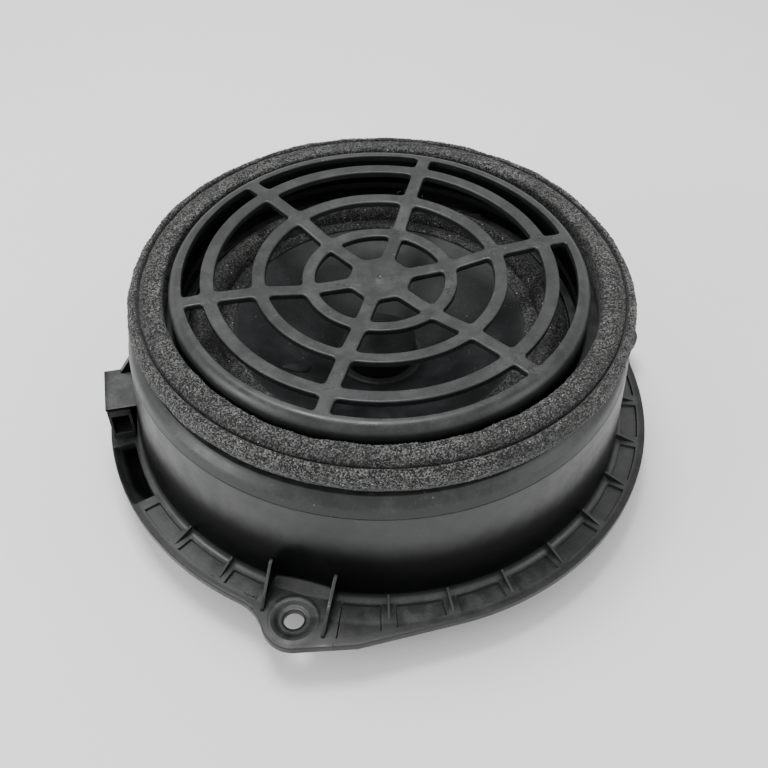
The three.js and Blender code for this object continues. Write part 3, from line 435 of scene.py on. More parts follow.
class Shader:
    """Builds one procedural material's nodes, on the piece's own coordinates in metres."""

    def __init__(self, name: str) -> None:
        self.material = bpy.data.materials.new(name)
        self.material.use_nodes = True
        self.tree = self.material.node_tree
        self.surface = self.tree.nodes["Principled BSDF"]
        self.place = self.tree.nodes.new("ShaderNodeTexCoord").outputs["Object"]

    def feed(self, socket: Socket, value: object) -> None:
        """Links a socket, or sets its constant."""
        if isinstance(value, bpy.types.NodeSocket):
            self.tree.links.new(value, socket)
        else:
            socket.default_value = value

    def node(self, kind: str, inputs: dict[str | int, object], **settings: object) -> bpy.types.Node:
        """Adds a node, with its settings and what feeds it."""
        made = self.tree.nodes.new(kind)
        for key, value in settings.items():
            setattr(made, key, value)
        for key, value in inputs.items():
            self.feed(made.inputs[key], value)
        return made

    def stretched(self, scale: Sequence[float]) -> Socket:
        """The piece's coordinates, scaled along each axis."""
        inputs = {"Vector": self.place, "Scale": tuple(scale)}
        return self.node("ShaderNodeMapping", inputs).outputs[0]

    def noise(
        self, scale: float, detail: float = 4.0, rough: float = 0.6, at: Socket | None = None
    ) -> Socket:
        """Cloudy noise from 0 to 1."""
        inputs = {"Vector": at or self.place, "Scale": scale, "Detail": detail, "Roughness": rough}
        return self.node("ShaderNodeTexNoise", inputs).outputs[0]

    def ramp(self, value: Socket, low: float, high: float, start: float = 0, end: float = 1) -> Socket:
        """Smoothly maps low..high to start..end."""
        inputs = {"Value": value, "From Min": low, "From Max": high, "To Min": start, "To Max": end}
        made = self.node("ShaderNodeMapRange", inputs, interpolation_type="SMOOTHSTEP")
        return made.outputs[0]

    def math(self, operation: str, made: Socket, *others: Socket | float) -> Socket:
        """Applies an operation to a value and each of the others in turn."""
        for other in others or (0.0,):
            made = self.node("ShaderNodeMath", {0: made, 1: other}, operation=operation).outputs[0]
        return made

    def mix(self, share: Socket | float, a: object, b: object) -> Socket:
        """Mixes two colours."""
        made = self.node("ShaderNodeMix", {}, data_type="RGBA")
        for index, value in ((0, share), (6, a), (7, b)):
            self.feed(made.inputs[index], value)
        return made.outputs[2]

    def specks(self, scale: float, size: float, share: float) -> Socket:
        """Scattered round specks: a share of the cells of a Voronoi pattern hold one each."""
        cells = self.node("ShaderNodeTexVoronoi", {"Vector": self.place, "Scale": scale})
        parts = self.node("ShaderNodeSeparateColor", {0: cells.outputs["Color"]})
        chosen = self.math("LESS_THAN", parts.outputs[0], share)
        spread = self.math("MULTIPLY_ADD", parts.outputs[1], size)
        spread.node.inputs[2].default_value = size * 0.35
        near = self.math("SUBTRACT", spread, cells.outputs["Distance"])
        return self.math("MULTIPLY", chosen, self.ramp(near, 0.0, size * 0.3))

    def upward(self, low: float = 0.2, high: float = 0.95) -> Socket:
        """1 where the surface faces up, where dust settles."""
        normal = self.node("ShaderNodeNewGeometry", {}).outputs["Normal"]
        parts = self.node("ShaderNodeSeparateXYZ", {0: normal})
        return self.ramp(parts.outputs[2], low, high)

    def bump(self, layers: Sequence[tuple[Socket, float]]) -> None:
        """Stacks height layers, each with its depth in millimetres, onto the surface."""
        normal = None
        for height, depth in layers:
            inputs = {"Height": height, "Distance": depth * MM, "Strength": 1.0}
            if normal:
                inputs["Normal"] = normal
            normal = self.node("ShaderNodeBump", inputs).outputs[0]
        self.feed(self.surface.inputs["Normal"], normal)

    def finish(
        self, color: Socket, roughness: Socket, metallic: float = 0.0, ior_level: float = 0.5
    ) -> bpy.types.Material:
        """Feeds the surface and returns the material."""
        self.feed(self.surface.inputs["Base Color"], color)
        self.feed(self.surface.inputs["Roughness"], roughness)
        self.surface.inputs["Metallic"].default_value = metallic
        self.surface.inputs["Specular IOR Level"].default_value = ior_level
        return self.material


Colour = tuple[float, float, float]


def opaque(color: Colour, lift: float = 1.0) -> tuple[float, float, float, float]:
    """A colour with full alpha, made lighter or darker."""
    return (color[0] * lift, color[1] * lift, color[2] * lift, 1.0)


@dataclass(frozen=True)
class Moulded:
    """Moulded or pressed plastic: fine grain, cloudy wear, settled dust and scuffs.

    Painted shade darkens and dulls its side faces between four heights, in metres: where it
    begins, where it is full, where it starts to fade and where it ends. The same painted shade
    makes anything below a lower pair of heights dark, and the plastic beyond a radius darker and duller.
    """

    slot: str
    color: Colour
    roughness: float = 0.5
    grain: float = 0.02
    waviness: float = 0.03
    dust: float = 0.25
    specks: float = 0.12
    scuffs: float = 0.2
    gloss: float = 0.5
    dust_color: Colour = (0.23, 0.232, 0.23)
    settle: float = 0.95
    shade_heights: tuple[float, float, float, float] | None = None
    shade_below: tuple[float, float] = (-1.0, -0.9)
    shade_rim_r: float = 1.0

    def material(self) -> bpy.types.Material:
        """Builds the material."""
        s = Shader(self.slot)
        cloud = s.noise(28, 5, 0.62)
        fine = s.noise(2600, 3, 0.6)
        mottle = s.noise(1300, 4, 0.7)
        blotch = s.noise(160, 6, 0.7)
        settled = s.math("MULTIPLY", s.upward(0.2, self.settle), s.ramp(blotch, 0.36, 0.68, 0.25, 1))
        patchy = s.ramp(cloud, 0.3, 0.7, 0.4, 1)
        film = s.math("MULTIPLY", settled, patchy, self.dust, s.ramp(mottle, 0.35, 0.65, 0.6, 1.3))
        streaks = s.noise(90, 3, 0.5, s.stretched((1, 9, 3)))
        streaks2 = s.noise(110, 3, 0.5, s.stretched((9, 1.3, 4)))
        scratch = s.math("ADD", s.ramp(streaks, 0.66, 0.74), s.ramp(streaks2, 0.67, 0.75))
        scuff = s.math("MULTIPLY", scratch, s.ramp(fine, 0.4, 0.65), self.scuffs)
        dots = s.math("MULTIPLY", s.specks(800, 0.2, self.specks * 0.5), s.upward(-0.6, 0.6))
        grit = s.math("MULTIPLY", s.specks(2300, 0.24, self.specks * 1.6), s.upward(-0.4, 0.8))
        marks = s.math("MAXIMUM", s.math("MULTIPLY", dots, 0.4), s.math("MULTIPLY", grit, 0.3))
        worn = s.math("MINIMUM", s.math("ADD", film, scuff, marks), 0.92)
        base = s.mix(s.ramp(cloud, 0.3, 0.7), opaque(self.color, 0.85), opaque(self.color, 1.15))
        base = s.mix(s.ramp(mottle, 0.35, 0.65, 0.0, 0.35), base, opaque(self.color, 0.4))
        color = s.mix(worn, base, opaque(self.dust_color))
        rough = s.ramp(blotch, 0.3, 0.7, self.roughness - 0.07, self.roughness + 0.07)
        rough = s.math("ADD", rough, s.math("MULTIPLY", worn, 0.35))
        s.bump([(s.noise(60, 4, 0.5), self.waviness), (fine, self.grain), (marks, 0.03)])
        made = s.finish(color, rough, ior_level=self.gloss)
        # Painted shade: the side faces between the heights, everything below the lower heights and the
        # plastic beyond the radius turn darker and less glossy.
        if self.shade_heights:
            parts = s.node("ShaderNodeSeparateXYZ", {0: s.place})
            height = parts.outputs[2]
            squares = [s.math("MULTIPLY", parts.outputs[i], parts.outputs[i]) for i in (0, 1)]
            away = s.math("SQRT", s.math("ADD", *squares))
            ragged = s.math("ADD", height, s.math("MULTIPLY", cloud, 0.004))
            begins, full, fades, ends = self.shade_heights
            window = s.math("MULTIPLY", s.ramp(height, begins, full), s.ramp(ragged, fades, ends, 1, 0))
            sides = s.math("MULTIPLY", window, s.ramp(s.upward(0.3, 0.9), 0, 1, 1, 0))
            rim_shade = s.ramp(away, self.shade_rim_r, self.shade_rim_r + 0.0016, 0, 0.45)
            painted_shade = s.math("MAXIMUM", sides, s.ramp(height, *self.shade_below, 0.97, 0), rim_shade)
            s.feed(s.surface.inputs["Base Color"], s.mix(painted_shade, color, opaque(self.color, 0.12)))
            s.feed(s.surface.inputs["Specular IOR Level"], s.ramp(painted_shade, 0, 1, self.gloss, 0.04))
        return made


@dataclass(frozen=True)
class Foam:
    """Open-cell foam: crowded pale and dark grains, bright strands and dust.

    Painted shade darkens it in a crease round its centre, inside that crease, and at its foot.
    """

    slot: str
    color: Colour
    pale: Colour = (0.30, 0.31, 0.315)
    warm: Colour = (0.34, 0.325, 0.285)
    cell: float = 0.42
    dust: float = 0.62
    relief: float = 1.0
    fuzz: float = 0.12
    crease_r: float = 0.0836
    centre: tuple[float, float] = (0.0, 0.0)
    foot: tuple[float, float] = (-1.0, -0.9)

    def material(self) -> bpy.types.Material:
        """Builds the material."""
        s = Shader(self.slot)
        scale = 1000 / self.cell
        cells = s.node("ShaderNodeTexVoronoi", {"Vector": s.place, "Scale": scale})
        parts = s.node("ShaderNodeSeparateColor", {0: cells.outputs["Color"]})
        pits = cells.outputs["Distance"]
        cloud = s.noise(45, 5, 0.65)
        patch = s.noise(230, 4, 0.6)
        grains = s.math("POWER", s.ramp(parts.outputs[0], 0.15, 1.0), 1.6)
        clouded = s.ramp(cloud, 0.3, 0.72, 0.55, 1.0)
        share = s.math("MULTIPLY", clouded, s.ramp(patch, 0.3, 0.7, 0.6, 1.0))
        sparks = s.math("MULTIPLY", s.specks(scale * 0.5, 0.30, 0.09), 0.95)
        lint = s.ramp(s.noise(420, 3, 0.5, s.stretched((1, 5, 2))), 0.71, 0.79)
        light = s.math("MULTIPLY", grains, share, self.dust)
        pale = s.math("MAXIMUM", light, sparks, s.math("MULTIPLY", lint, 0.45))
        base = s.mix(s.ramp(pits, 0.1, 0.6), opaque(self.color, 1.3), opaque(self.color, 0.3))
        dust = s.mix(s.ramp(parts.outputs[1], 0.45, 0.75), opaque(self.pale), opaque(self.warm))
        color = s.mix(s.math("MINIMUM", pale, 0.9), base, dust)
        # Painted shade: a dark line along the crease, a softer darkening inside it, and a dark foot.
        parts = s.node("ShaderNodeSeparateXYZ", {0: s.place})
        x, y = (s.math("SUBTRACT", parts.outputs[i], self.centre[i]) for i in (0, 1))
        squares = s.math("ADD", s.math("MULTIPLY", x, x), s.math("MULTIPLY", y, y))
        away = s.math("ADD", s.math("SQRT", squares), s.math("MULTIPLY", patch, 0.0008))
        beside = s.math("ABSOLUTE", s.math("SUBTRACT", away, self.crease_r + 0.0004))
        crease_shade = s.ramp(beside, 0.0003, 0.0011, 0.75, 0)
        beyond = s.ramp(away, self.crease_r, self.crease_r + 0.0016, 0.0, 1.0)
        towards = s.ramp(away, self.crease_r - 0.005, self.crease_r, 0.1, 0.4)
        inner = s.math("MULTIPLY", towards, s.math("SUBTRACT", 1.0, beyond))
        foot = s.ramp(parts.outputs[2], *self.foot, 0.85, 0.0)
        shade = s.math("MAXIMUM", crease_shade, inner, foot)
        color = s.mix(shade, color, opaque(self.color, 0.3))
        s.bump([(cloud, 0.4 * self.relief), (patch, 0.12 * self.relief), (pits, -0.22 * self.relief)])
        s.feed(s.surface.inputs["Sheen Weight"], self.fuzz)
        s.feed(s.surface.inputs["Sheen Roughness"], 0.45)
        return s.finish(color, s.ramp(cloud, 0.2, 0.8, 0.82, 0.98), ior_level=0.2)


@dataclass(frozen=True)
class Metal:
    """Plated or bare metal with turning marks, stains and fine pitting."""

    slot: str
    color: Colour
    roughness: float = 0.35
    metallic: float = 1.0
    stain: Colour = (0.16, 0.14, 0.11)

    def material(self) -> bpy.types.Material:
        """Builds the material."""
        s = Shader(self.slot)
        cloud = s.noise(70, 6, 0.65)
        lines = s.noise(900, 3, 0.5, s.stretched((1, 1, 14)))
        pits = s.specks(700, 0.2, 0.25)
        base = s.mix(s.ramp(cloud, 0.3, 0.75), opaque(self.color, 0.85), opaque(self.color, 1.1))
        share = s.math("MAXIMUM", s.ramp(cloud, 0.58, 0.8, 0, 0.5), s.math("MULTIPLY", pits, 0.5))
        color = s.mix(share, base, opaque(self.stain))
        turned = s.ramp(lines, 0.3, 0.7, self.roughness - 0.08, self.roughness + 0.1)
        rough = s.math("ADD", turned, s.math("MULTIPLY", share, 0.3))
        s.bump([(lines, 0.01), (pits, -0.02), (cloud, 0.02)])
        return s.finish(color, rough, self.metallic)


@dataclass(frozen=True)
class Cloth:
    """Woven threads along two directions, stiffened with resin or wound on a wire."""

    slot: str
    color: Colour
    pitch: float = 0.5
    roughness: float = 0.85

    def material(self) -> bpy.types.Material:
        """Builds the material."""
        s = Shader(self.slot)
        scale = 1000 / self.pitch / 6.283
        waves = []
        for direction in ("X", "Y"):
            inputs = {"Vector": s.place, "Scale": scale, "Distortion": 0.6, "Detail": 2.0}
            waves.append(s.node("ShaderNodeTexWave", inputs, bands_direction=direction).outputs["Fac"])
        weave = s.math("MULTIPLY", waves[0], waves[1])
        cloud = s.noise(60, 5, 0.6)
        base = s.mix(weave, opaque(self.color, 0.45), opaque(self.color, 1.15))
        color = s.mix(s.ramp(cloud, 0.5, 0.8, 0, 0.4), base, opaque(self.color, 0.6))
        s.bump([(weave, 0.12), (cloud, 0.05)])
        return s.finish(color, s.ramp(cloud, 0.2, 0.8, self.roughness - 0.1, self.roughness + 0.1))


class Workshop:
    """Gives finished pieces their material and body, and hides the CAD nodes they replace."""

    def __init__(self, finishes: Sequence[Moulded | Foam | Metal | Cloth]) -> None:
        self.materials = {finish.slot: finish.material() for finish in finishes}

    def hand_over(
        self,
        piece: bpy.types.Object,
        slot: str,
        nodes: Sequence[str],
        body: Body | None = Body.HOUSING,
        look: str = "",
    ) -> bpy.types.Object:
        """Finishes a piece.

        Args:
            piece: The new object.
            slot: The record's material slot.
            nodes: CAD nodes that the piece stands for.
            body: What it rides on, or None if it bends between the bodies.
            look: The finish, where it differs from the slot's own.
        """
        piece.data.materials.clear()
        piece.data.materials.append(self.materials[look or slot])
        if nodes:
            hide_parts(*nodes)
        if body:
            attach(piece, body.value)
        LOG.info("%s: %d faces", piece.name, len(piece.data.polygons))
        return piece


def even_shading(piece: bpy.types.Object) -> bpy.types.Object:
    """Lets large faces set the shading of the small roundings beside them."""
    modifier = piece.modifiers.new("even_shading", "WEIGHTED_NORMAL")
    modifier.keep_sharp = True
    modifier.weight = 90
    return piece


# ---------------------------------------------------------------- shared levels


@dataclass(frozen=True)
class Levels:
    """Heights that more than one sub-assembly meets."""

    flange: float = 17.2
    flange_rear: float = 14.2
    basket: float = 22.6
    spider_seat: float = 31.4
    rim_seat: float = 52.5
    rim_top: float = 54.8
    shelf: float = 52.3
    seam: float = 57.7
    shoulder: float = 64.1
    grille: float = 79.4
    connector_azimuth: float = -167.3
    screw_circle_r: float = 74.2
    rivet_circle_r: float = 28.0
    fasteners: int = 4
    ears: tuple[float, ...] = (-105.0, 19.5, 135.0)
    foam_shift: tuple[float, float] = (1.0, 2.2)

    def fastener_azimuth(self, number: int) -> float:
        """Azimuth of a basket screw, and of the rivet inside it."""
        return self.connector_azimuth + 45 + 90 * number

    def gap(self, ear: float) -> float:
        """Degrees from one ear to the next."""
        return min((other - ear) % 360 for other in self.ears if other != ear)


AT = Levels()


# ---------------------------------------------------------------- housing


@dataclass
class Housing:
    """The tall moulded wall with its riveting flange, ears, ribs and connector bay."""

    workshop: Workshop
    foot_r: float = 91.2
    top_r: float = 88.3
    wall_t: float = 2.6
    flange_r: float = 102.0
    root_r: float = 91.5
    ear_circle_r: float = 101.8
    ear_r: float = 10.6
    hole_r: float = 3.35
    fillet_r: float = 17.3
    knee_r: float = 107.5
    knee_step: float = 12.0
    ear_side: float = 7.8
    pocket_inner_r: float = 93.3
    pocket_set_in: float = 3.1
    pocket_depth: float = 1.0
    pocket_from_ear: float = 8.2
    pocket_from_rib: float = 1.5
    ribs: int = 8
    rib_first: float = 17.35
    rib_step: float = 12.25
    flank_offset: float = 10.8
    flank_h: float = 12.3
    trough: tuple[float, float] = (-163.2, -147.4)
    trough_depth: float = 5.5
    bay: dict[str, float] = field(
        default_factory=lambda: {"outer": 100.5, "rear": -13.7, "mouth": 5.7, "roof": 36.2}
    )

    def wall_r(self, z: np.ndarray | float) -> np.ndarray | float:
        """The wall's outer radius at a height."""
        return self.foot_r + (self.top_r - self.foot_r) * (z - AT.flange) / 40.5

    def build(self) -> None:
        """Builds the housing as one piece."""
        shell = Shell()
        self.add_wall(shell)
        for ear in AT.ears:
            self.add_flange_arc(shell, ear)
            self.add_ear(shell, ear)
            self.add_flanks(shell, ear)
            self.add_ribs(shell, ear)
        self.add_bosses(shell)
        self.add_bay(shell)
        piece = even_shading(shell.build("housing_shell"))
        self.workshop.hand_over(piece, "housing", ["housing"])

    def add_wall(self, shell: Shell) -> None:
        """The wall, the basket's shelf and the quarter ellipse at the wall's foot.

        Over each ear the outer face gives way to an ellipsoid, joined by a smooth minimum.
        """
        inner = self.top_r - self.wall_t + 0.3
        bend = np.linspace(0, np.pi / 2, 10)
        foot = np.column_stack([93.2 - 2.2 * np.sin(bend), 19.9 - 2.75 * np.cos(bend)])
        outer = refined(np.array([(91.0, 19.9), (self.top_r, 57.15)]), 1.1, closed=False)
        profile = np.concatenate(
            [
                [(88.6, 14.2), (91.4, 14.2), (92.9, 16.4)],
                foot[:-1],
                outer,
                [(88.22, 57.4), (88.0, 57.5), (inner + 0.2, 57.5), (inner, 57.3), (inner, 52.5)],
                [(inner - 0.2, AT.shelf), (72.4, AT.shelf), (72.2, 52.1), (72.2, 50.0), (72.4, 49.8)],
                [(84.8, 49.8), (86.0, 49.3), (86.3, 48.0)],
                refined(np.array([(86.4, 46.0), (88.55, 15.5)]), 6.0, closed=False),
            ]
        )
        near = np.arange(-9.0, 9.001, 0.36)
        azimuths = np.concatenate(
            [ear + np.append(near, np.arange(10.0, AT.gap(ear) - 9.5, 1.3)) for ear in AT.ears]
        )
        grid = revolved(profile, azimuths)
        r = np.broadcast_to(profile[:, :1], grid.shape[:2])
        z = grid[..., 2]
        away = np.array([(azimuths - ear + 180) % 360 - 180 for ear in AT.ears])
        across = r * np.radians(np.abs(away).min(axis=0))
        inside = 1 - (across / 11.0) ** 2 - ((z - 19.6) / 31.0) ** 2
        hollow = 90.92 - 2.1 * np.sqrt(np.clip(inside, 0, None))
        bite = np.clip(r - hollow, 0, None) * (inside > 0) * smooth(z, 17.3, 20.0)
        bite = bite**2 / (bite + 0.12)
        is_outer = (np.arange(len(profile)) < 3 + len(foot) - 1 + len(outer))[:, None]
        new_r = r - bite * is_outer
        grid[..., :2] *= (new_r / r)[..., None]
        shell.grid(grid, rows_closed=True)

    def edge_r(self, turn: np.ndarray) -> np.ndarray:
        """The flange's outer radius, by degrees from the ear.

        It is the flange's circle, the fillet's arc before the ear, and after it the two
        straight lines through the knee, each as p / cos(turn - its normal's turn).
        """
        lead, _ = self.fillet()
        reach = self.flange_r + self.fillet_r
        aside = np.radians(turn) + lead
        across = reach * np.sin(np.clip(aside, 0, 0.13))
        arc = reach * np.cos(aside) - np.sqrt(self.fillet_r**2 - across**2)
        meet = self.knee_step + np.degrees(np.arccos(self.flange_r / self.knee_r))
        line = self.flange_r / np.cos(np.radians(np.clip(meet - turn, 0, None)))
        normal = 90.0 - np.degrees(self.leaving())
        touch = self.ear_r + self.ear_circle_r * np.sin(self.leaving())
        first = touch / np.cos(np.radians(np.clip(turn, 0, self.knee_step) - normal))
        made = np.where(turn < self.knee_step, first, line)
        return np.where(turn < 0, np.where(aside > 0, arc, self.flange_r), made)

    def fillet(self) -> tuple[float, np.ndarray]:
        """How far before the ear the fillet's centre lies, in radians, and that centre."""
        reach = self.flange_r + self.fillet_r
        span = self.ear_r + self.fillet_r
        cosine = (self.ear_circle_r**2 + reach**2 - span**2) / (2 * self.ear_circle_r * reach)
        lead = float(np.arccos(cosine))
        return lead, np.array([-reach * np.sin(lead), reach * np.cos(lead)])

    def leaving(self) -> float:
        """Where the line to the knee leaves the ear's round tip, as an angle round its centre."""
        knee = polar(self.knee_r, 90 - self.knee_step) - np.array([0.0, self.ear_circle_r])
        return float(np.arctan2(knee[1], knee[0]) + np.arccos(self.ear_r / np.linalg.norm(knee)))

    def trough_drop(self, r: np.ndarray, azimuth: np.ndarray) -> np.ndarray:
        """Depth of the trough before the connector.

        It drops steeply beside the wall, rises to the rim as a cosine, and runs out along the
        flange as another cosine that ends in a low step.
        """
        within = smooth(azimuth, self.trough[0] - 0.3, self.trough[0] + 0.3)
        within = within * (1 - smooth(azimuth, self.trough[1] - 0.2, self.trough[1] + 0.2))
        rise = np.cos(np.clip((r - 94.0) / 7.3, 0, 1) * np.pi / 2) ** 1.1
        run_out = np.cos(np.clip((azimuth - self.trough[0] - 9.0) / 10.0, 0, 1) * np.pi / 2)
        return self.trough_depth * within * smooth(r, 93.3, 93.9) * rise * run_out

    def pocket_drop(self, r: np.ndarray, after: np.ndarray, gap: float) -> np.ndarray:
        """Depth of the shallow pockets between the ribs, and beside the ears."""
        outer = self.edge_r(after[:1]) - self.pocket_set_in
        radial = smooth(r, self.pocket_inner_r - 0.15, self.pocket_inner_r + 0.15)
        radial = radial * (1 - smooth(r, outer - 0.15, outer + 0.15))
        ribs = self.rib_first + self.rib_step * np.arange(self.ribs)
        starts = np.append(self.pocket_from_ear, ribs + self.pocket_from_rib)
        ends = np.append(ribs - self.pocket_from_rib, gap - self.pocket_from_ear)
        within = sum(
            smooth(after, start - 0.1, start + 0.1) * (1 - smooth(after, end - 0.1, end + 0.1))
            for start, end in zip(starts, ends)
        )
        return self.pocket_depth * radial * within

    def ribless(self, azimuth: np.ndarray | float) -> np.ndarray | bool:
        """Where the connector and its trough take the ribs' and pockets' place."""
        turn = (azimuth - AT.connector_azimuth + 12.0) % 360.0
        return turn <= 33.0

    def add_flange_arc(self, shell: Shell, ear: float) -> None:
        """The flange between one ear and the next, as a field of heights over radius and azimuth."""
        gap = AT.gap(ear)
        ribs = self.rib_first + self.rib_step * np.arange(self.ribs)
        beside = np.array([-0.1, 0.0, 0.1])
        marks = [ribs + side * (self.pocket_from_rib + d) for side in (1, -1) for d in beside]
        marks += [self.pocket_from_ear + beside, gap - self.pocket_from_ear - beside]
        base = np.arange(self.ear_side, gap - self.ear_side, 0.7)
        extra = []
        if ear == AT.ears[2]:
            extra = [np.arange(60.8, 62.6, 0.1), np.arange(77.0, 78.2, 0.1)]
        after = np.concatenate([base, [gap - self.ear_side], *marks, *extra])
        after = np.unique(np.round(after, 3))
        azimuth = (ear + after + 180) % 360 - 180
        azimuth = np.where(azimuth > 140, azimuth - 360, azimuth)
        steps = [self.root_r, 92.6, 93.15, 93.25, 93.35, 93.45, 93.6, 93.8, 94.0, 94.5, 95.1, 95.8]
        steps += [96.5, 97.2]
        edge = self.edge_r(np.where(after > gap - 14, after - gap, after))
        inset = (4.2, 3.7, 3.4, 3.25, 3.15, 3.05, 2.95, 2.7, 2.3, 1.8, 1.2, 0.45)
        rows = [np.full_like(after, r) for r in steps] + [edge - d for d in inset]
        r = np.stack(rows)
        turn = azimuth[None, :] + 0 * r
        drop = self.trough_drop(r, turn)
        drop = drop + self.pocket_drop(r, after[None, :] + 0 * r, gap) * ~self.ribless(turn)
        top = AT.flange - drop
        low = np.minimum(AT.flange_rear, top - 1.6)
        rim = [(edge - 0.12, AT.flange - 0.12), (edge, AT.flange - 0.45), (edge, AT.flange_rear + 0.4)]
        rim += [(edge - 0.12, AT.flange_rear + 0.12)]
        r_all = np.concatenate([r, np.stack([e for e, _ in rim]), r[::-1]])
        z_rim = np.stack([np.full_like(after, z) for _, z in rim])
        z_all = np.concatenate([top, z_rim, low[::-1]])
        a = np.radians(azimuth)[None, :]
        grid = np.stack([r_all * np.cos(a), r_all * np.sin(a), z_all], axis=-1)
        shell.tube(np.swapaxes(grid, 0, 1))

    def ear_edge(self) -> np.ndarray:
        """An ear's outer edge, in [along, out] from the speaker's axis with the ear straight up.

        It is the fillet, the round tip and the straight line to the knee, between ear_side
        degrees before the ear and as much after it.
        """
        _, centre = self.fillet()
        hub = np.array([0.0, self.ear_circle_r])
        turn = lambda start, end, count: np.linspace(start, end, count)[:, None]
        start = np.arctan2(*(-centre)[::-1])
        end = np.arctan2(*(hub - centre)[::-1])
        sweep = turn(start, end, 24)
        fillet = centre + self.fillet_r * np.hstack([np.cos(sweep), np.sin(sweep)])
        leave = self.leaving()
        enter = end + np.pi
        enter -= 2 * np.pi * np.ceil((enter - leave - 2 * np.pi) / (2 * np.pi))
        sweep = turn(enter, leave, 30)
        tip = hub + self.ear_r * np.hstack([np.cos(sweep), np.sin(sweep)])
        ends = [
            polar(float(self.edge_r(np.array([side]))[0]), 90 - side)
            for side in (-self.ear_side, self.ear_side)
        ]
        line = tip[-1] + (ends[1] - tip[-1]) * turn(0, 1, 8)[1:]
        kept = fillet[np.arctan2(fillet[:, 0], fillet[:, 1]) > np.radians(0.05 - self.ear_side)]
        return np.concatenate([ends[:1], kept, tip[1:], line])

    def ear_height(self, points: np.ndarray) -> np.ndarray:
        """Height over the flange, by distance from the hole: a soft dish inside a faint ring."""
        d = np.hypot(*(points - np.array([0.0, self.ear_circle_r])).T)
        dish = -0.75 * (1 - smooth(d, 4.9, 6.9))
        ring = 0.14 * smooth(d, 6.9, 7.6) * (1 - smooth(d, 7.8, 8.8))
        return dish - 0.35 * (1 - smooth(d, 3.2, 3.9)) + ring

    def add_ear(self, shell: Shell, ear: float) -> None:
        """One ear with its true hole, in loops from the hole out to the ear's own edge."""
        edge = self.ear_edge()
        last = np.radians(self.ear_side)
        side = lambda after, radii: np.stack([radii * np.sin(after), radii * np.cos(after)], axis=-1)
        down = side(last, np.linspace(np.hypot(*edge[-1]), self.root_r, 10))[1:]
        foot = polar(self.root_r, 90 - np.linspace(self.ear_side, -self.ear_side, 40))[1:]
        up = side(-last, np.linspace(self.root_r, np.hypot(*edge[0]), 10))[1:-1]
        loop = np.concatenate([edge, down, foot, up])
        rim = np.zeros(len(loop))
        rim[: len(edge)] = 1.0
        hub = np.array([0.0, self.ear_circle_r])
        away = loop - hub
        angle = np.unwrap(np.arctan2(away[:, 1], away[:, 0]))
        circle = np.stack([np.cos(angle), np.sin(angle)], axis=-1)
        reach = np.linalg.norm(away, axis=1)
        inset = (0.45 / reach)[:, None] * away * rim[:, None]
        radii = np.concatenate([[self.hole_r, 3.6, 4.0, 4.5], np.linspace(5.2, 9.6, 14)])
        tops = [hub + circle * r for r in radii]
        tops += [tops[-1] + (loop - inset - tops[-1]) * t for t in (0.25, 0.5, 0.75, 1.0)]
        rows = [(p, AT.flange + self.ear_height(p)) for p in tops]
        level = lambda z: np.full(len(loop), z)
        rows += [(loop - inset * 0.27, level(AT.flange) - 0.12 * rim)]
        rows += [(loop, level(AT.flange) - 0.45 * rim)]
        rear = level(AT.flange_rear)
        rows += [(loop, rear + 0.4 * rim), (loop - inset * 0.9, rear)]
        rows += [(hub + circle * 9.0, rear), (hub + circle * 3.6, rear)]
        rows += [(tops[0], level(AT.flange_rear + 0.25)), (tops[0], level(AT.flange - 0.6))]
        turn = np.radians(ear - 90)
        spin = np.array([[np.cos(turn), np.sin(turn)], [-np.sin(turn), np.cos(turn)]])
        mirror = np.array([-1.0, 1.0])
        made = [np.column_stack([(p * mirror) @ spin, z]) for p, z in rows]
        shell.grid(np.stack(made), rows_closed=True)

    def add_flanks(self, shell: Shell, ear: float) -> None:
        """The two tall ribs beside an ear."""
        for side, reach in ((-1, 102.0), (1, 105.8)):
            foot = self.foot_r - 1.5
            outline = [(foot, 16.5), (reach, 16.5), (reach, AT.flange + 0.8)]
            outline += [(foot + 1.2, AT.flange + self.flank_h), (foot, AT.flange + self.flank_h)]
            shape = rounded(outline, [0.2, 0.2, 0.8, 0.8, 0.2], 3)
            place = standing(ear, side * self.flank_offset)
            shell.slab(shape, -0.6, 0.6, 0.28, place)

    def add_ribs(self, shell: Shell, ear: float) -> None:
        """The low gussets between the pockets."""
        for i in range(self.ribs):
            azimuth = ear + self.rib_first + i * self.rib_step
            if self.ribless(azimuth):
                continue
            outline = [(89.8, 16.0), (98.7, 16.0), (98.7, AT.flange + 0.12)]
            outline += [(92.6, AT.flange + 2.35), (89.8, AT.flange + 3.0)]
            shell.slab(rounded(outline, [0.1, 0.1, 0.3, 0.8, 0.2], 3), -0.42, 0.42, 0.2, standing(azimuth))

    def add_bosses(self, shell: Shell) -> None:
        """Blind bosses under the shelf that take the basket's screws."""
        for i in range(AT.fasteners):
            centre = polar(AT.screw_circle_r, AT.fastener_azimuth(i))
            corners = [(0.0, 41.8), (3.4, 41.8), (3.4, 51.5), (0.0, 51.5)]
            grid = revolved(rounded(corners, [0, 0.4, 0, 0], 3), around(32))
            grid[..., :2] += centre
            shell.grid(grid, rows_closed=True)

    def add_bay(self, shell: Shell) -> None:
        """The roof, the rear wall and the sloping web over the connector."""
        place = flat(AT.connector_azimuth)
        outer, rear, mouth, roof = (self.bay[k] for k in ("outer", "rear", "mouth", "roof"))
        inside = float(self.wall_r(roof)) - 1.4
        shell.box((inside, rear, roof - 1.1), (outer, mouth, roof), place, 0.3)
        shell.box((inside, rear, 16.6), (outer, rear + 1.5, roof - 0.2), place, 0.3)
        web = [(inside, roof - 0.5), (inside + 6.5, roof - 0.5), (inside - 0.2, roof + 9.4)]
        plate = standing(AT.connector_azimuth, rear + 1.2)
        shell.slab(rounded(web, [0.1, 0.6, 0.6], 3), -1.2, 1.2, 0.25, plate)


# ---------------------------------------------------------------- grille cover and seals


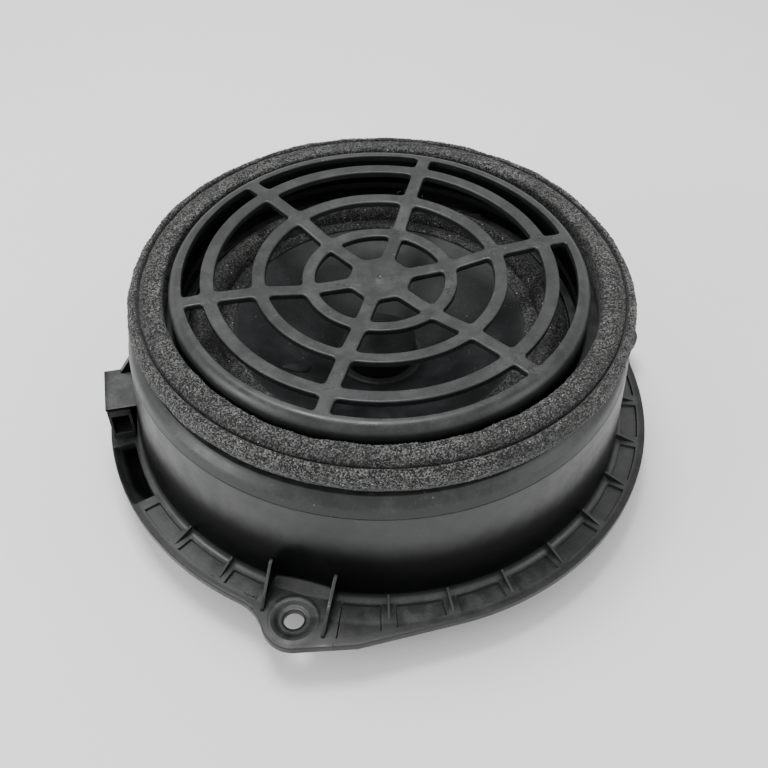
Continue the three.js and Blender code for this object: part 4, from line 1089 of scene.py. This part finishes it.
@dataclass
class GrilleCover:
    """The front cover: band, shoulder, raised rim and the dished grille of spokes and rings."""

    workshop: Workshop
    first_spoke: float = -104.5
    spokes: int = 6
    spoke_w: float = 4.8
    thickness: float = 2.4
    edge: float = 0.55
    join_r: float = 68.5
    bead: tuple[float, float] = (3.5, 4.6)
    rings: tuple[tuple[float, float], ...] = ((22.3, 26.7), (39.2, 43.7), (56.3, 61.0))
    drops: tuple[tuple[float, float], ...] = (
        (0, 4.1), (10.5, 4.1), (22.3, 3.75), (26.7, 3.5), (39.2, 1.25), (43.7, 0.8),
        (56.3, -0.06), (61.0, -0.08), (67.2, 0.0), (80.0, 0.0),
    )

    def top(self, radius: np.ndarray) -> np.ndarray:
        """Height of the grille's upper face."""
        at, drop = np.array(self.drops).T
        return AT.grille - np.interp(radius, at, drop)

    def build(self) -> None:
        """Builds the cover as one piece: windows, hub and the turned rim, joined point to point.

        The rim's bead is a quarter ellipse, r = join + wide sin(a), z = top - high (1 - cos(a)).
        """
        shell = Shell()
        half = 180.0 / self.spokes
        mids = [sum(r) / 2 for r in self.rings]
        cells = [
            Window(6.0, 10.5, self.rings[0][0], mids[0], self.spoke_w, 1.7, straight_inside=True),
            Window(mids[0], self.rings[0][1], self.rings[1][0], mids[1], self.spoke_w, 1.9),
            Window(mids[1], self.rings[1][1], self.rings[2][0], mids[2], self.spoke_w, 1.9),
            Window(mids[2], self.rings[2][1], 67.2, self.join_r, self.spoke_w, 1.6),
        ]
        for i in range(self.spokes):
            middle = self.first_spoke + (2 * i + 1) * half
            for cell in cells:
                grid = cell.grid(middle, half, self.top, self.thickness, self.edge)
                shell.grid(grid, rows_closed=False)
        azimuths = Window.edge_azimuths(self.first_spoke, self.spokes)
        hub = AT.grille - self.drops[0][1]
        dimple = [(6, 0), (4.5, 0), (3.0, 0.03), (1.6, 0.3), (1.1, 0.36), (0.8, 0.1), (0, 0.05)]
        shell.grid(revolved(np.array([(r, hub + rise) for r, rise in dimple]), azimuths), False)
        under = hub - self.thickness
        shell.grid(revolved(np.array([(6, under), (0, under)]), azimuths), False)
        bend = np.linspace(0, np.pi / 2, 11)[:-1]
        wide, high = self.bead
        bead = np.column_stack([self.join_r + wide * np.sin(bend), AT.grille - high * (1 - np.cos(bend))])
        corners = [
            (72.0, 74.8), (72.0, AT.shoulder), (84.2, AT.shoulder), (85.1, 63.4), (87.25, 61.1),
            (88.3, AT.seam), (85.7, AT.seam), (85.7, AT.rim_seat), (83.7, AT.rim_seat), (83.7, 62.2),
            (69.7, 62.2), (69.7, 74.8), (self.join_r, 77.0),
        ]
        radii = [0, 0.8, 0.3, 0.4, 1.2, 0.3, 0.3, 0.3, 0.3, 1.0, 1.0, 1.2, 0]
        rest = refined(rounded(corners, radii, 6, closed=False), 2.0, closed=False)
        rim = np.concatenate([bead, rest])
        shell.grid(revolved(rim, azimuths), False)
        piece = even_shading(shell.build("grille_shell"))
        self.workshop.hand_over(piece, "grille", ["grille_cover"])


@dataclass
class Seals:
    """The foam ring round the grille and the thin ring under the flange."""

    workshop: Workshop
    seed: int = 11

    def ripple(self, azimuth: np.ndarray, waves: int, rng: np.random.Generator) -> np.ndarray:
        """A sum of cosines round the ring, with random phases, between about -1 and 1."""
        made = np.zeros_like(azimuth)
        for k in range(2, 2 + waves):
            made += np.cos(np.radians(azimuth * k) + rng.uniform(0, 2 * np.pi)) / np.sqrt(waves)
        return made

    def build_foam(self) -> None:
        """The foam ring, a little off centre, with a crease in its top and pressed ridges."""
        rng = np.random.default_rng(self.seed)
        corners = [
            (75.5, 64.35), (75.5, 75.3), (81.9, 75.3), (83.2, 73.9), (83.55, 72.6), (84.1, 74.2),
            (85.0, 74.75), (86.5, 73.9), (87.5, 71.2), (87.5, 68.8), (86.2, 66.0), (84.2, 64.35),
        ]
        radii = [0.6, 1.3, 1.4, 0.6, 0.1, 0.5, 0.6, 1.2, 1.4, 1.4, 1.2, 0.6]
        profile = refined(rounded(corners, radii, 5), 0.6)
        azimuths = around(1050)
        grid = revolved(profile, azimuths)
        r, z = profile[:, :1], profile[:, 1:2]
        turn = azimuths[None, :]
        middle = np.array([81.0, 69.5])
        out = profile - middle
        out /= np.linalg.norm(out, axis=1, keepdims=True)
        above = smooth(z, 65.0, 68.0)
        slow = 0.28 * self.ripple(turn, 9, rng)
        uneven = 0.16 * self.ripple(turn + 3 * r, 40, rng)
        grain = np.clip(rng.normal(0, 0.13, grid.shape[:2]), -0.3, 0.3)
        pressed = smooth(np.cos(np.radians(turn - 35)), -0.2, 0.8) * smooth(r, 79.0, 83.0)
        ridges = -0.32 * pressed * (0.5 + 0.5 * np.cos((r + 0.9 * (75 - z) + 0.5 * slow) * 2.2))
        lift = above * (slow * 0.5 + uneven + grain) + ridges * above
        grid[..., 0] += lift * out[:, :1] * np.cos(np.radians(turn)) + AT.foam_shift[0]
        grid[..., 1] += lift * out[:, :1] * np.sin(np.radians(turn)) + AT.foam_shift[1]
        grid[..., 2] += lift * out[:, 1:2]
        shell = Shell()
        shell.grid(grid, rows_closed=True)
        piece = self.workshop.hand_over(shell.build("foam_ring", 60), "foam", ["foam_gasket"])

    def build_flange_seal(self) -> None:
        """The thin seal under the flange, open at the trough."""
        corners = [(90.2, 12.0), (94.6, 12.0), (94.6, 14.0), (90.2, 14.0)]
        profile = rounded(corners, [0.5] * 4, 3)
        azimuths = np.linspace(-145.3, 194.7, 300)
        grid = revolved(profile, azimuths)
        shell = Shell()
        shell.tube(np.swapaxes(grid, 0, 1))
        piece = self.workshop.hand_over(shell.build("seal_ring", 60), "foam", ["flange_seal"])

    def build(self) -> None:
        """Builds both seals."""
        self.build_foam()
        self.build_flange_seal()


# ---------------------------------------------------------------- connector and wiring


@dataclass
class Connector:
    """The two-way socket in its bay, with its blades."""

    workshop: Workshop
    inner: float = 91.9
    outer: float = 100.3
    rear: float = -11.9
    mouth: float = 5.5
    low: float = 19.8
    high: float = 34.4
    floor: float = 22.6
    roof: float = 31.4
    wall: float = 1.2
    web: float = -6.4

    def build(self) -> None:
        """Builds the shell from its floor, roof, sides and web, and then the blades."""
        shell = Shell()
        place = flat(AT.connector_azimuth)
        inner, outer = self.inner, self.outer
        low, high, behind_web = self.low, self.high, self.web - 1.4
        blocks = [
            ((inner, self.rear, low), (outer, self.mouth, self.floor), 0.3),
            ((inner, self.rear, self.roof), (outer, self.mouth, high), 0.3),
            ((inner, behind_web, low), (inner + self.wall, self.mouth, high), 0.3),
            ((outer - self.wall, self.rear, low), (outer, self.mouth, high), 0.3),
            ((inner, behind_web, low + 0.4), (outer - 0.4, self.web, high - 0.4), 0.1),
            ((inner, self.rear, low), (outer, self.rear + 0.8, high), 0.3),
        ]
        for start, end, edge in blocks:
            shell.box(start, end, place, edge)
        self.workshop.hand_over(even_shading(shell.build("socket")), "connector", ["connector_shell"])
        for i, z in enumerate((25.0, 29.0), start=1):
            blade = Shell()
            blade.box((95.2, -10.4, z - 0.4), (97.2, -0.6, z + 0.4), place, 0.15)
            blade.box((82.5, -10.4, z - 0.4), (96.0, -8.4, z + 0.4), place, 0.15)
            piece = blade.build(f"blade_{i}")
            self.workshop.hand_over(piece, "brass", [f"terminal_pin_{i}"])


@dataclass
class Wiring:
    """The terminal board, the hook-up wires and the tinsel leads."""

    workshop: Workshop
    board_u: float = 68.6
    board_t: float = 1.6
    joint_z: float = 42.9
    offset: float = 9.0
    cone_u: float = 27.0
    cone_under: float = 43.04

    def at(self, points: Sequence[Sequence[float]]) -> np.ndarray:
        """Turns [out, across, height] points to the connector's azimuth."""
        return flat(AT.connector_azimuth)(np.asarray(points, float))

    def build(self) -> None:
        """Builds the board, the wires and the leads."""
        board = Shell()
        place = flat(AT.connector_azimuth)
        board.box((self.board_u, -12, 40.3), (self.board_u + self.board_t, 12, 52.3), place, 0.2)
        self.workshop.hand_over(board.build("board"), "board", ["terminal_board"])
        ends = ((-1, 29.0, "wire_red"), (1, 25.0, "wire_brown"))
        for i, (side, pin_z, look) in enumerate(ends, start=1):
            self.build_wire(i, side, pin_z, look)
            self.build_lead(i, side)

    def build_wire(self, number: int, side: int, pin_z: float, look: str) -> None:
        """An insulated wire from the board to one blade's tail."""
        u, z = self.board_u + self.board_t, self.joint_z
        path = [
            (u + 0.2, side * self.offset, z),
            (u + 4, side * self.offset, z - 1),
            (u + 8.5, side * 3 - 4, (z + pin_z) / 2),
            (78.5, -9.4, pin_z + 0.6),
            (82.2, -9.4, pin_z),
        ]
        wire = Shell()
        wire.tube(swept(self.at(path), 0.8, 14, 20))
        self.workshop.hand_over(wire.build(f"hookup_{number}", 60), look, [f"hookup_wire_{number}"])

    def build_lead(self, number: int, side: int) -> None:
        """A braided lead to the cone, built in one fixed shape; the real lead bends as the cone moves."""
        u, z, across = self.board_u, self.joint_z, side * self.offset
        path = [
            (u - 0.2, across, z),
            (u - 7, across, z - 1.6),
            (u - 17, across, z - 3),
            (self.cone_u + 10, across, z - 3.2),
            (self.cone_u + 3, across, self.cone_under - 2.2),
            (self.cone_u, across, self.cone_under - 0.7),
        ]
        line = self.at(path)
        lead = Shell()
        lead.tube(swept(line, 0.7, 12, 16))
        piece = self.workshop.hand_over(
            lead.build(f"lead_{number}", 60), "tinsel", [f"tinsel_lead_{number}"], None
        )
        ends = [tuple(p * MM) for p in (line[0], line[-1])]
        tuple(ends[0])
        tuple(ends[1])
        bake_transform(piece)


# ---------------------------------------------------------------- driver


@dataclass
class Driver:
    """The fixed parts of the driver: basket, clamp ring, fasteners and motor."""

    workshop: Workshop
    legs: int = 6
    bore_r: float = 13.85
    base_r: float = 35.5
    seat_r: float = 38.5
    mouth_r: float = 66.0

    def bowl(self, radius: np.ndarray) -> np.ndarray:
        """Height of the bowl's inner face."""
        return AT.spider_seat + (radius - self.seat_r) * 20.3 / (self.mouth_r - self.seat_r)

    def build(self) -> None:
        """Builds the fixed parts from the rear forward."""
        self.build_motor()
        self.build_basket()
        self.build_fasteners()
        clamp = Shell()
        clamp.turned([(67.8, 56.0), (70.8, 56.0), (70.8, 57.6), (67.8, 57.6)], 0.4)
        self.workshop.hand_over(even_shading(clamp.build("clamp")), "basket", ["clamp_ring"])

    def build_basket(self) -> None:
        """The bowl with six legs between its windows, its base and its rim."""
        shell = Shell()
        step = 360.0 / self.legs
        first = AT.connector_azimuth
        cell = Window(40.0, 41.7, 63.6, 65.0, 12.0, 2.5)
        for i in range(self.legs):
            grid = cell.grid(first + (i + 0.5) * step, step / 2, self.bowl, 2.2, 0.5)
            shell.grid(grid, rows_closed=False)
        azimuths = Window.edge_azimuths(first, self.legs)
        low, high = self.bowl(40.0) - 2.2, self.bowl(40.0)
        base = [
            (40.0, high), (self.seat_r, AT.spider_seat), (33.5, AT.spider_seat), (33.5, 25.0),
            (self.bore_r + 1, 25.0), (self.bore_r + 1, AT.basket), (self.base_r, AT.basket),
            (self.base_r, 29.4), (39.2, 29.4), (40.0, low),
        ]
        radii = [0, 0.3, 0.4, 0.8, 0.3, 0.3, 0.5, 0.6, 0.3, 0]
        shell.grid(revolved(rounded(base, radii, 4, closed=False), azimuths), False)
        low, high = self.bowl(65.0) - 2.2, self.bowl(65.0)
        rim = [
            (65.0, high), (66.0, 51.7), (66.0, AT.rim_top), (77.2, AT.rim_top), (77.2, AT.rim_seat),
            (68.0, AT.rim_seat), (68.0, 50.2), (65.0, low),
        ]
        radii = [0, 0.4, 0.4, 0.5, 0.5, 0.8, 0.5, 0]
        shell.grid(revolved(rounded(rim, radii, 4, closed=False), azimuths), False)
        piece = even_shading(shell.build("basket_shell"))
        self.workshop.hand_over(piece, "basket", ["driver_basket"])

    def build_fasteners(self) -> None:
        """The screws in the rim and the rivets through the base."""
        screw = [(0, 42.5), (1.5, 43.5), (1.5, 55.0), (2.6, 55.0), (2.6, 55.6), (1.6, 56.8), (0, 56.9)]
        screw = rounded(screw, [0, 0.2, 0, 0.15, 0.5, 0.8, 0], 3)
        rivet = [(0, 18.4), (2.2, 18.4), (2.2, 25.2), (3.5, 25.2), (3.3, 26.2), (0, 26.6)]
        rivet = rounded(rivet, [0, 0.2, 0, 0.2, 0.7, 0], 3)
        for i in range(AT.fasteners):
            turn = AT.fastener_azimuth(i)
            self.build_pin(f"screw_{i + 1}", screw, polar(AT.screw_circle_r, turn), f"basket_screw_{i + 1}")
            self.build_pin(f"rivet_{i + 1}", rivet, polar(AT.rivet_circle_r, turn), f"plate_rivet_{i + 1}")

    def build_pin(self, name: str, profile: Profile, centre: np.ndarray, node: str) -> None:
        """One turned fastener standing at a point."""
        shell = Shell()
        grid = revolved(profile, around(32))
        grid[..., :2] += centre
        shell.grid(grid, rows_closed=True)
        self.workshop.hand_over(shell.build(name), "steel", [node])

    def build_motor(self) -> None:
        """Back plate with its pole, ferrite ring and top plate."""
        plate = Shell()
        corners = [(0, 0), (35, 0), (35, 5), (11.9, 5), (11.9, 23.9), (0, 23.9)]
        plate.turned(corners, [0, 0.9, 0.5, 0.3, 0.8, 0], 128)
        self.workshop.hand_over(even_shading(plate.build("pole_plate")), "plated_steel", ["back_plate"])
        magnet = Shell()
        magnet.turned([(17, 5.2), (36, 5.2), (36, 17.2), (17, 17.2)], 0.7, 128)
        self.workshop.hand_over(even_shading(magnet.build("magnet_ring")), "ferrite", ["magnet"])
        plate = Shell()
        plate.turned([(self.bore_r, 17.4), (34, 17.4), (34, 22.4), (self.bore_r, 22.4)], 0.5, 128)
        self.workshop.hand_over(even_shading(plate.build("front_plate")), "plated_steel", ["top_plate"])


# ---------------------------------------------------------------- moving parts


@dataclass
class MovingParts:
    """The cone and everything that travels or bends with it."""

    workshop: Workshop
    cone_r: float = 56.0
    lip_r: float = 51.4
    edge_z: float = 56.0
    collar_r: float = 15.3
    collar_z: float = 37.6
    neck_r: float = 12.75
    neck_z: float = 36.3

    def build(self) -> None:
        """Builds the moving parts and the two rings that bend."""
        self.build_cone()
        self.build_dab()
        self.build_cap()
        self.build_coil()
        self.build_surround()
        self.build_spider()

    def build_cone(self) -> None:
        """The cone, from its collar on the coil former to its glue lip."""
        shell = Shell()
        t = 0.8
        corners = [
            (self.neck_r, self.neck_z - t), (self.lip_r, self.edge_z - t), (self.cone_r, self.edge_z - t),
            (self.cone_r, self.edge_z), (self.lip_r, self.edge_z), (self.collar_r, self.collar_z),
            (self.neck_r + 0.9, self.neck_z + 2.6), (self.neck_r, self.neck_z + 2.6),
        ]
        shell.turned(corners, [0.1, 1.5, 0.1, 0.1, 1.2, 1.2, 0.2, 0.1], 240)
        piece = even_shading(shell.build("cone_shell"))
        self.workshop.hand_over(piece, "cone", ["cone"], Body.CONE)

    def build_dab(self) -> None:
        """The glue dab over the leads' ends: half an ellipsoid lying along the cone's slope."""
        mid, along, across, high = 33.0, 6.2, 2.4, 1.3
        place = flat(-151.0)
        slope = np.arctan2(self.edge_z - self.collar_z, self.lip_r - self.collar_r)
        turn, lean = np.radians(around(40))[None, :], np.linspace(0, np.pi / 2, 12)[:, None]
        reach = np.cos(lean) * (1 + 0.10 * np.cos(3 * turn + 1))
        u, v = along * reach * np.cos(turn), across * reach * np.sin(turn)
        w = high * np.sin(lean) + 0 * turn
        out = mid + u * np.cos(slope) - w * np.sin(slope)
        base = self.collar_z + (mid - self.collar_r) * np.tan(slope)
        z = base + u * np.sin(slope) + w * np.cos(slope)
        bottom = place(np.stack([out[:1], v[:1], z[:1] - 0.3], axis=-1))
        shell = Shell()
        shell.grid(np.concatenate([bottom, place(np.stack([out, v, z], axis=-1))]), rows_closed=False)
        piece = shell.build("lead_dab", 60)
        self.workshop.hand_over(piece, "dust_cap", [], Body.CONE)

    def build_cap(self) -> None:
        """The domed dust cap: an arc of a sphere over a short skirt."""
        outer, inner, brim, rise, thickness, skirt_h = 13.45, 12.75, 45.9, 4.8, 0.7, 6.6
        sphere = (outer**2 + rise**2) / (2 * rise)
        r = np.linspace(outer, 0, 26)
        dome = np.column_stack([r, brim + rise - sphere + np.sqrt(sphere**2 - r**2)])
        under = np.column_stack([r[::-1] * inner / outer, dome[::-1, 1] - thickness])
        skirt = brim - skirt_h
        profile = np.concatenate([[(outer, skirt)], dome, under, [(inner, skirt)]])
        shell = Shell()
        shell.grid(revolved(profile, around(160)), rows_closed=True)
        self.workshop.hand_over(shell.build("cap", 30), "dust_cap", ["dust_cap"], Body.CONE)

    def build_coil(self) -> None:
        """The coil's former and its winding."""
        former = Shell()
        former.turned([(12.25, 14.9), (12.55, 14.9), (12.55, 45.7), (12.25, 45.7)], 0.05, 128)
        self.workshop.hand_over(former.build("former_tube"), "former", ["coil_former"], Body.CONE)
        coil = Shell()
        wires = 13.42 + 0.07 * np.cos(np.arange(72) * np.pi)
        outer = np.column_stack([wires, np.linspace(15.5, 24.3, 72)])
        profile = np.concatenate([[(12.62, 15.4)], outer, [(12.62, 24.4)]])
        coil.grid(revolved(profile, around(128)), rows_closed=True)
        self.workshop.hand_over(coil.build("winding", 80), "copper", ["voice_coil"], Body.CONE)

    def bend_with_cone(self, piece: bpy.types.Object) -> None:
        """Bakes a ring's placement into its mesh and reads its vertex positions; it bends nothing."""
        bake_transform(piece)
        co = np.empty(len(piece.data.vertices) * 3)
        piece.data.vertices.foreach_get("co", co)

    def build_surround(self) -> None:
        """The half-roll edge, glued over the cone's lip and under the clamp ring."""
        mid, half, height, t = 62.0, 5.0, 5.5, 0.8
        sweep = np.linspace(np.pi, 0, 34)
        top_r = mid + half * np.cos(sweep)
        top = np.column_stack([top_r, 55.8 + height * np.sin(sweep)])
        top[:, 1] += 0.4 * np.clip((mid - top_r) / half, 0, 1)
        low_r = mid + (half - t) * np.cos(sweep)
        low = np.column_stack([low_r, 55.0 + (height + 0.05) * np.sin(sweep)])
        low[:, 1] += 0.35 * np.clip((mid - low_r) / half, 0, 1)
        profile = np.concatenate(
            [
                [(51.9, 56.12), (51.7, 56.3), (51.9, 56.72), (52.3, 56.8)],
                [(55.8, 56.75), (56.5, 56.4)],
                top,
                [(67.6, 55.8), (71.0, 55.8), (71.2, 55.6), (71.2, 55.1), (71.0, 55.02)],
                low[::-1],
                [(56.5, 55.3), (56.4, 56.1)],
            ]
        )
        shell = Shell()
        shell.grid(revolved(profile, around(280)), rows_closed=True)
        piece = self.workshop.hand_over(shell.build("roll", 60), "surround", ["surround"], None)
        self.bend_with_cone(piece)

    def build_spider(self) -> None:
        """The corrugated disc between the coil's former and the basket."""
        r = np.linspace(14.75, 34.9, 150)
        wave = 0.55 * (1 - np.cos(2 * np.pi * 5 * (r - r[0]) / (r[-1] - r[0])))
        middle = np.column_stack([r, 31.6 + wave])
        under = np.concatenate([[(12.8, 31.6)], middle, [(37.85, 31.6)]])
        profile = np.concatenate([under, under[::-1] + np.array([0, 0.5])])
        shell = Shell()
        shell.grid(revolved(profile, around(200)), rows_closed=True)
        piece = self.workshop.hand_over(shell.build("damper", 60), "spider", ["spider"], None)
        self.bend_with_cone(piece)


# ---------------------------------------------------------------- dirt that stands off the surface


@dataclass
class Lint:
    """Loose fibres lying on the grille, some alone and some in small tangles."""

    workshop: Workshop
    seed: int = 5
    count: int = 16
    thickness: float = 0.05
    rings: tuple[float, ...] = (24.5, 41.4, 58.6, 69.0)
    tangles: tuple[tuple[float, float, int], ...] = (
        (41.4, 17.0, 14), (41.4, 27.0, 9), (24.5, -12.0, 12), (24.5, 4.0, 7), (58.6, 16.0, 8),
        (66.5, -44.0, 14), (60.0, -44.0, 9), (41.4, 50.0, 8), (24.5, 74.0, 8), (44.0, 75.0, 5),
    )

    def build(self) -> None:
        """Lays short curled fibres on the rings and spokes."""
        rng = np.random.default_rng(self.seed)
        cover = GrilleCover(self.workshop)
        step = 360 / cover.spokes
        starts = []
        for _ in range(self.count):
            on_ring = rng.random() < 0.5
            radius = rng.choice(self.rings) if on_ring else rng.uniform(14, 60)
            if on_ring:
                azimuth = rng.uniform(-180, 180)
            else:
                azimuth = cover.first_spoke + step * rng.integers(cover.spokes)
            starts.append((radius, azimuth, 1.0))
        for radius, azimuth, count in self.tangles:
            for _ in range(count):
                aside = np.degrees(rng.normal(0, 1.9) / radius)
                starts.append((radius + rng.normal(0, 0.8), azimuth + aside, 0.55))
        shell = Shell()
        for radius, azimuth, size in starts:
            turns = rng.uniform(0, 2 * np.pi) + np.cumsum(rng.normal(0, 0.7, 5))
            steps = np.column_stack([np.cos(turns), np.sin(turns)]) * rng.uniform(0.35, 0.9) * size
            line = polar(radius, azimuth) + np.cumsum(np.vstack([[0, 0], steps]), axis=0)
            z = cover.top(np.hypot(*line.T)) + self.thickness * 0.9 + rng.uniform(0, 0.12, len(line))
            shell.tube(swept(np.column_stack([line, z]), self.thickness, 5, 6))
        self.workshop.hand_over(shell.build("fibres", 180), "foam", [], look="lint")


# ---------------------------------------------------------------- studio


@dataclass(frozen=True)
class Lamp:
    """A soft rectangular light aimed at the speaker."""

    name: str
    place: tuple[float, float, float]
    size: tuple[float, float]
    power: float
    color: Colour = (1.0, 1.0, 1.0)


@dataclass
class Studio:
    """Pale floor, soft lights and the camera."""

    target: tuple[float, float, float] = (0.0, 0.0, 0.05)
    lens: float = 44.74
    camera_at: tuple[float, float, float] = (0.0, -0.24968, 0.29169)
    pan: float = 0.008
    tilt: float = 0.825
    roll: float = 0.016
    lamps: tuple[Lamp, ...] = (
        Lamp("overhead", (-0.10, 0.15, 0.85), (0.3, 0.3), 6.0),
        Lamp("left", (-0.75, -0.35, 0.35), (0.4, 0.4), 3.6),
        Lamp("right", (0.70, -0.30, 0.30), (0.3, 0.5), 1.2),
    )

    def build(self) -> None:
        """Builds the floor, the lights and the camera."""
        shell = Shell()
        x = np.linspace(-2500, 2500, 3)
        floor = np.stack([*np.meshgrid(x, x), np.full((3, 3), -0.05)], axis=-1)
        shell.grid(floor, rows_closed=False, columns_closed=False)
        piece = shell.build("floor")
        s = Shader("floor_paper")
        cloud = s.noise(9, 4)
        s.bump([(s.noise(900, 3), 0.02)])
        paper = s.mix(cloud, (0.86, 0.86, 0.86, 1), (0.9, 0.9, 0.9, 1))
        piece.data.materials.append(s.finish(paper, s.ramp(cloud, 0, 1, 0.85, 0.95)))
        made = [piece]
        for lamp in self.lamps:
            data = bpy.data.lights.new(lamp.name, "AREA")
            data.shape = "RECTANGLE"
            data.size, data.size_y = lamp.size
            data.energy = lamp.power
            data.color = lamp.color
            light = bpy.data.objects.new(lamp.name, data)
            bpy.context.collection.objects.link(light)
            light.location = lamp.place
            aim = Vector(self.target) - light.location
            light.rotation_euler = aim.to_track_quat("-Z", "Y").to_euler()
            made.append(light)
        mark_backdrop(*made)
        world = bpy.data.worlds.new("studio")
        bpy.context.scene.world = world
        world.use_nodes = True
        background = world.node_tree.nodes["Background"]
        background.inputs["Color"].default_value = (1, 1, 1, 1)
        background.inputs["Strength"].default_value = 1.0
        self.build_camera()

    def build_camera(self) -> None:
        """Places the camera by its pan, tilt and roll."""
        data = bpy.data.cameras.new("camera")
        data.lens = self.lens
        data.sensor_width = 36.0
        camera = bpy.data.objects.new("camera", data)
        bpy.context.collection.objects.link(camera)
        sp, cp = np.sin(self.pan), np.cos(self.pan)
        st, ct = np.sin(self.tilt), np.cos(self.tilt)
        forward = Vector((sp * ct, cp * ct, -st))
        right = Vector((cp, -sp, 0.0))
        up = right.cross(forward)
        sr, cr = np.sin(self.roll), np.cos(self.roll)
        x, y = cr * right + sr * up, cr * up - sr * right
        pose = Matrix((x, y, -forward)).transposed().to_4x4()
        pose.translation = Vector(self.camera_at)
        camera.matrix_world = pose
        bpy.context.scene.camera = camera


FINISHES = (
    Moulded(
        "housing", (0.017, 0.018, 0.0185), 0.36, dust=0.22, specks=0.04, scuffs=0.09, gloss=0.5,
        # painted shade: the wall darker towards its foot, the trough and the flange's underside dark, the
        # flange's outer rim darker
        shade_heights=(0.0187, 0.0212, 0.036, 0.054), shade_below=(0.0132, 0.0160), shade_rim_r=0.0988,
    ),
    Moulded(
        "grille", (0.014, 0.015, 0.0155), 0.36, dust=0.14, specks=0.05, scuffs=0.16, gloss=0.42,
        # painted shade on the rim's outer wall, between the shoulder and the grille's top
        settle=0.5, shade_heights=(0.0645, 0.0660, 0.0715, 0.0792),
    ),
    # painted shade in the foam ring's crease, inside it and at its foot
    Foam("foam", (0.026, 0.027, 0.028), centre=(0.001, 0.0022), foot=(0.0655, 0.0695)),
    Foam("lint", (0.13, 0.13, 0.125), cell=0.3, dust=0.2, relief=0.1, fuzz=0.0, crease_r=1.0),
    Moulded("connector", (0.010, 0.010, 0.011), 0.5, dust=0.10, specks=0.05, gloss=0.3),
    Metal("brass", (0.72, 0.62, 0.40), 0.3),
    Moulded("basket", (0.010, 0.011, 0.012), 0.5, dust=0.3, specks=0.2, gloss=0.3),
    Metal("steel", (0.06, 0.06, 0.062), 0.4),
    Metal("plated_steel", (0.50, 0.50, 0.49), 0.4),
    Metal("ferrite", (0.045, 0.045, 0.048), 0.7, metallic=0.0, stain=(0.03, 0.028, 0.025)),
    Moulded("board", (0.16, 0.10, 0.045), 0.6, dust=0.1),
    Cloth("tinsel", (0.55, 0.42, 0.25), 0.35),
    Moulded("wire_red", (0.25, 0.02, 0.018), 0.4, dust=0.1),
    Moulded("wire_brown", (0.08, 0.04, 0.025), 0.4, dust=0.1),
    Foam("surround", (0.034, 0.035, 0.0355), cell=0.45, dust=0.38, relief=0.25, fuzz=0.0, crease_r=1.0),
    Cloth("spider", (0.42, 0.31, 0.14), 0.6),
    Moulded("cone", (0.010, 0.011, 0.012), 0.5, dust=0.07, specks=0.14, scuffs=0.06, gloss=0.25),
    Moulded("dust_cap", (0.012, 0.013, 0.014), 0.5, dust=0.07, specks=0.14, gloss=0.35),
    Moulded("former", (0.30, 0.16, 0.06), 0.35, dust=0.0),
    Metal("copper", (0.60, 0.26, 0.13), 0.35),
)


def corners() -> list[list[float]]:
    """The shown object's lowest and highest corners, as plain lists."""
    return [list(corner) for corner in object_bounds()]


def main() -> None:
    """Builds the speaker in order, then its studio."""
    logging.basicConfig(level=logging.INFO, format="%(name)s: %(message)s")
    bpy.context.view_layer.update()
    workshop = Workshop(FINISHES)
    Driver(workshop).build()
    MovingParts(workshop).build()
    Wiring(workshop).build()
    Housing(workshop).build()
    Connector(workshop).build()
    GrilleCover(workshop).build()
    Seals(workshop).build()
    Lint(workshop).build()
    Studio().build()


if __name__ == "__main__":
    main()
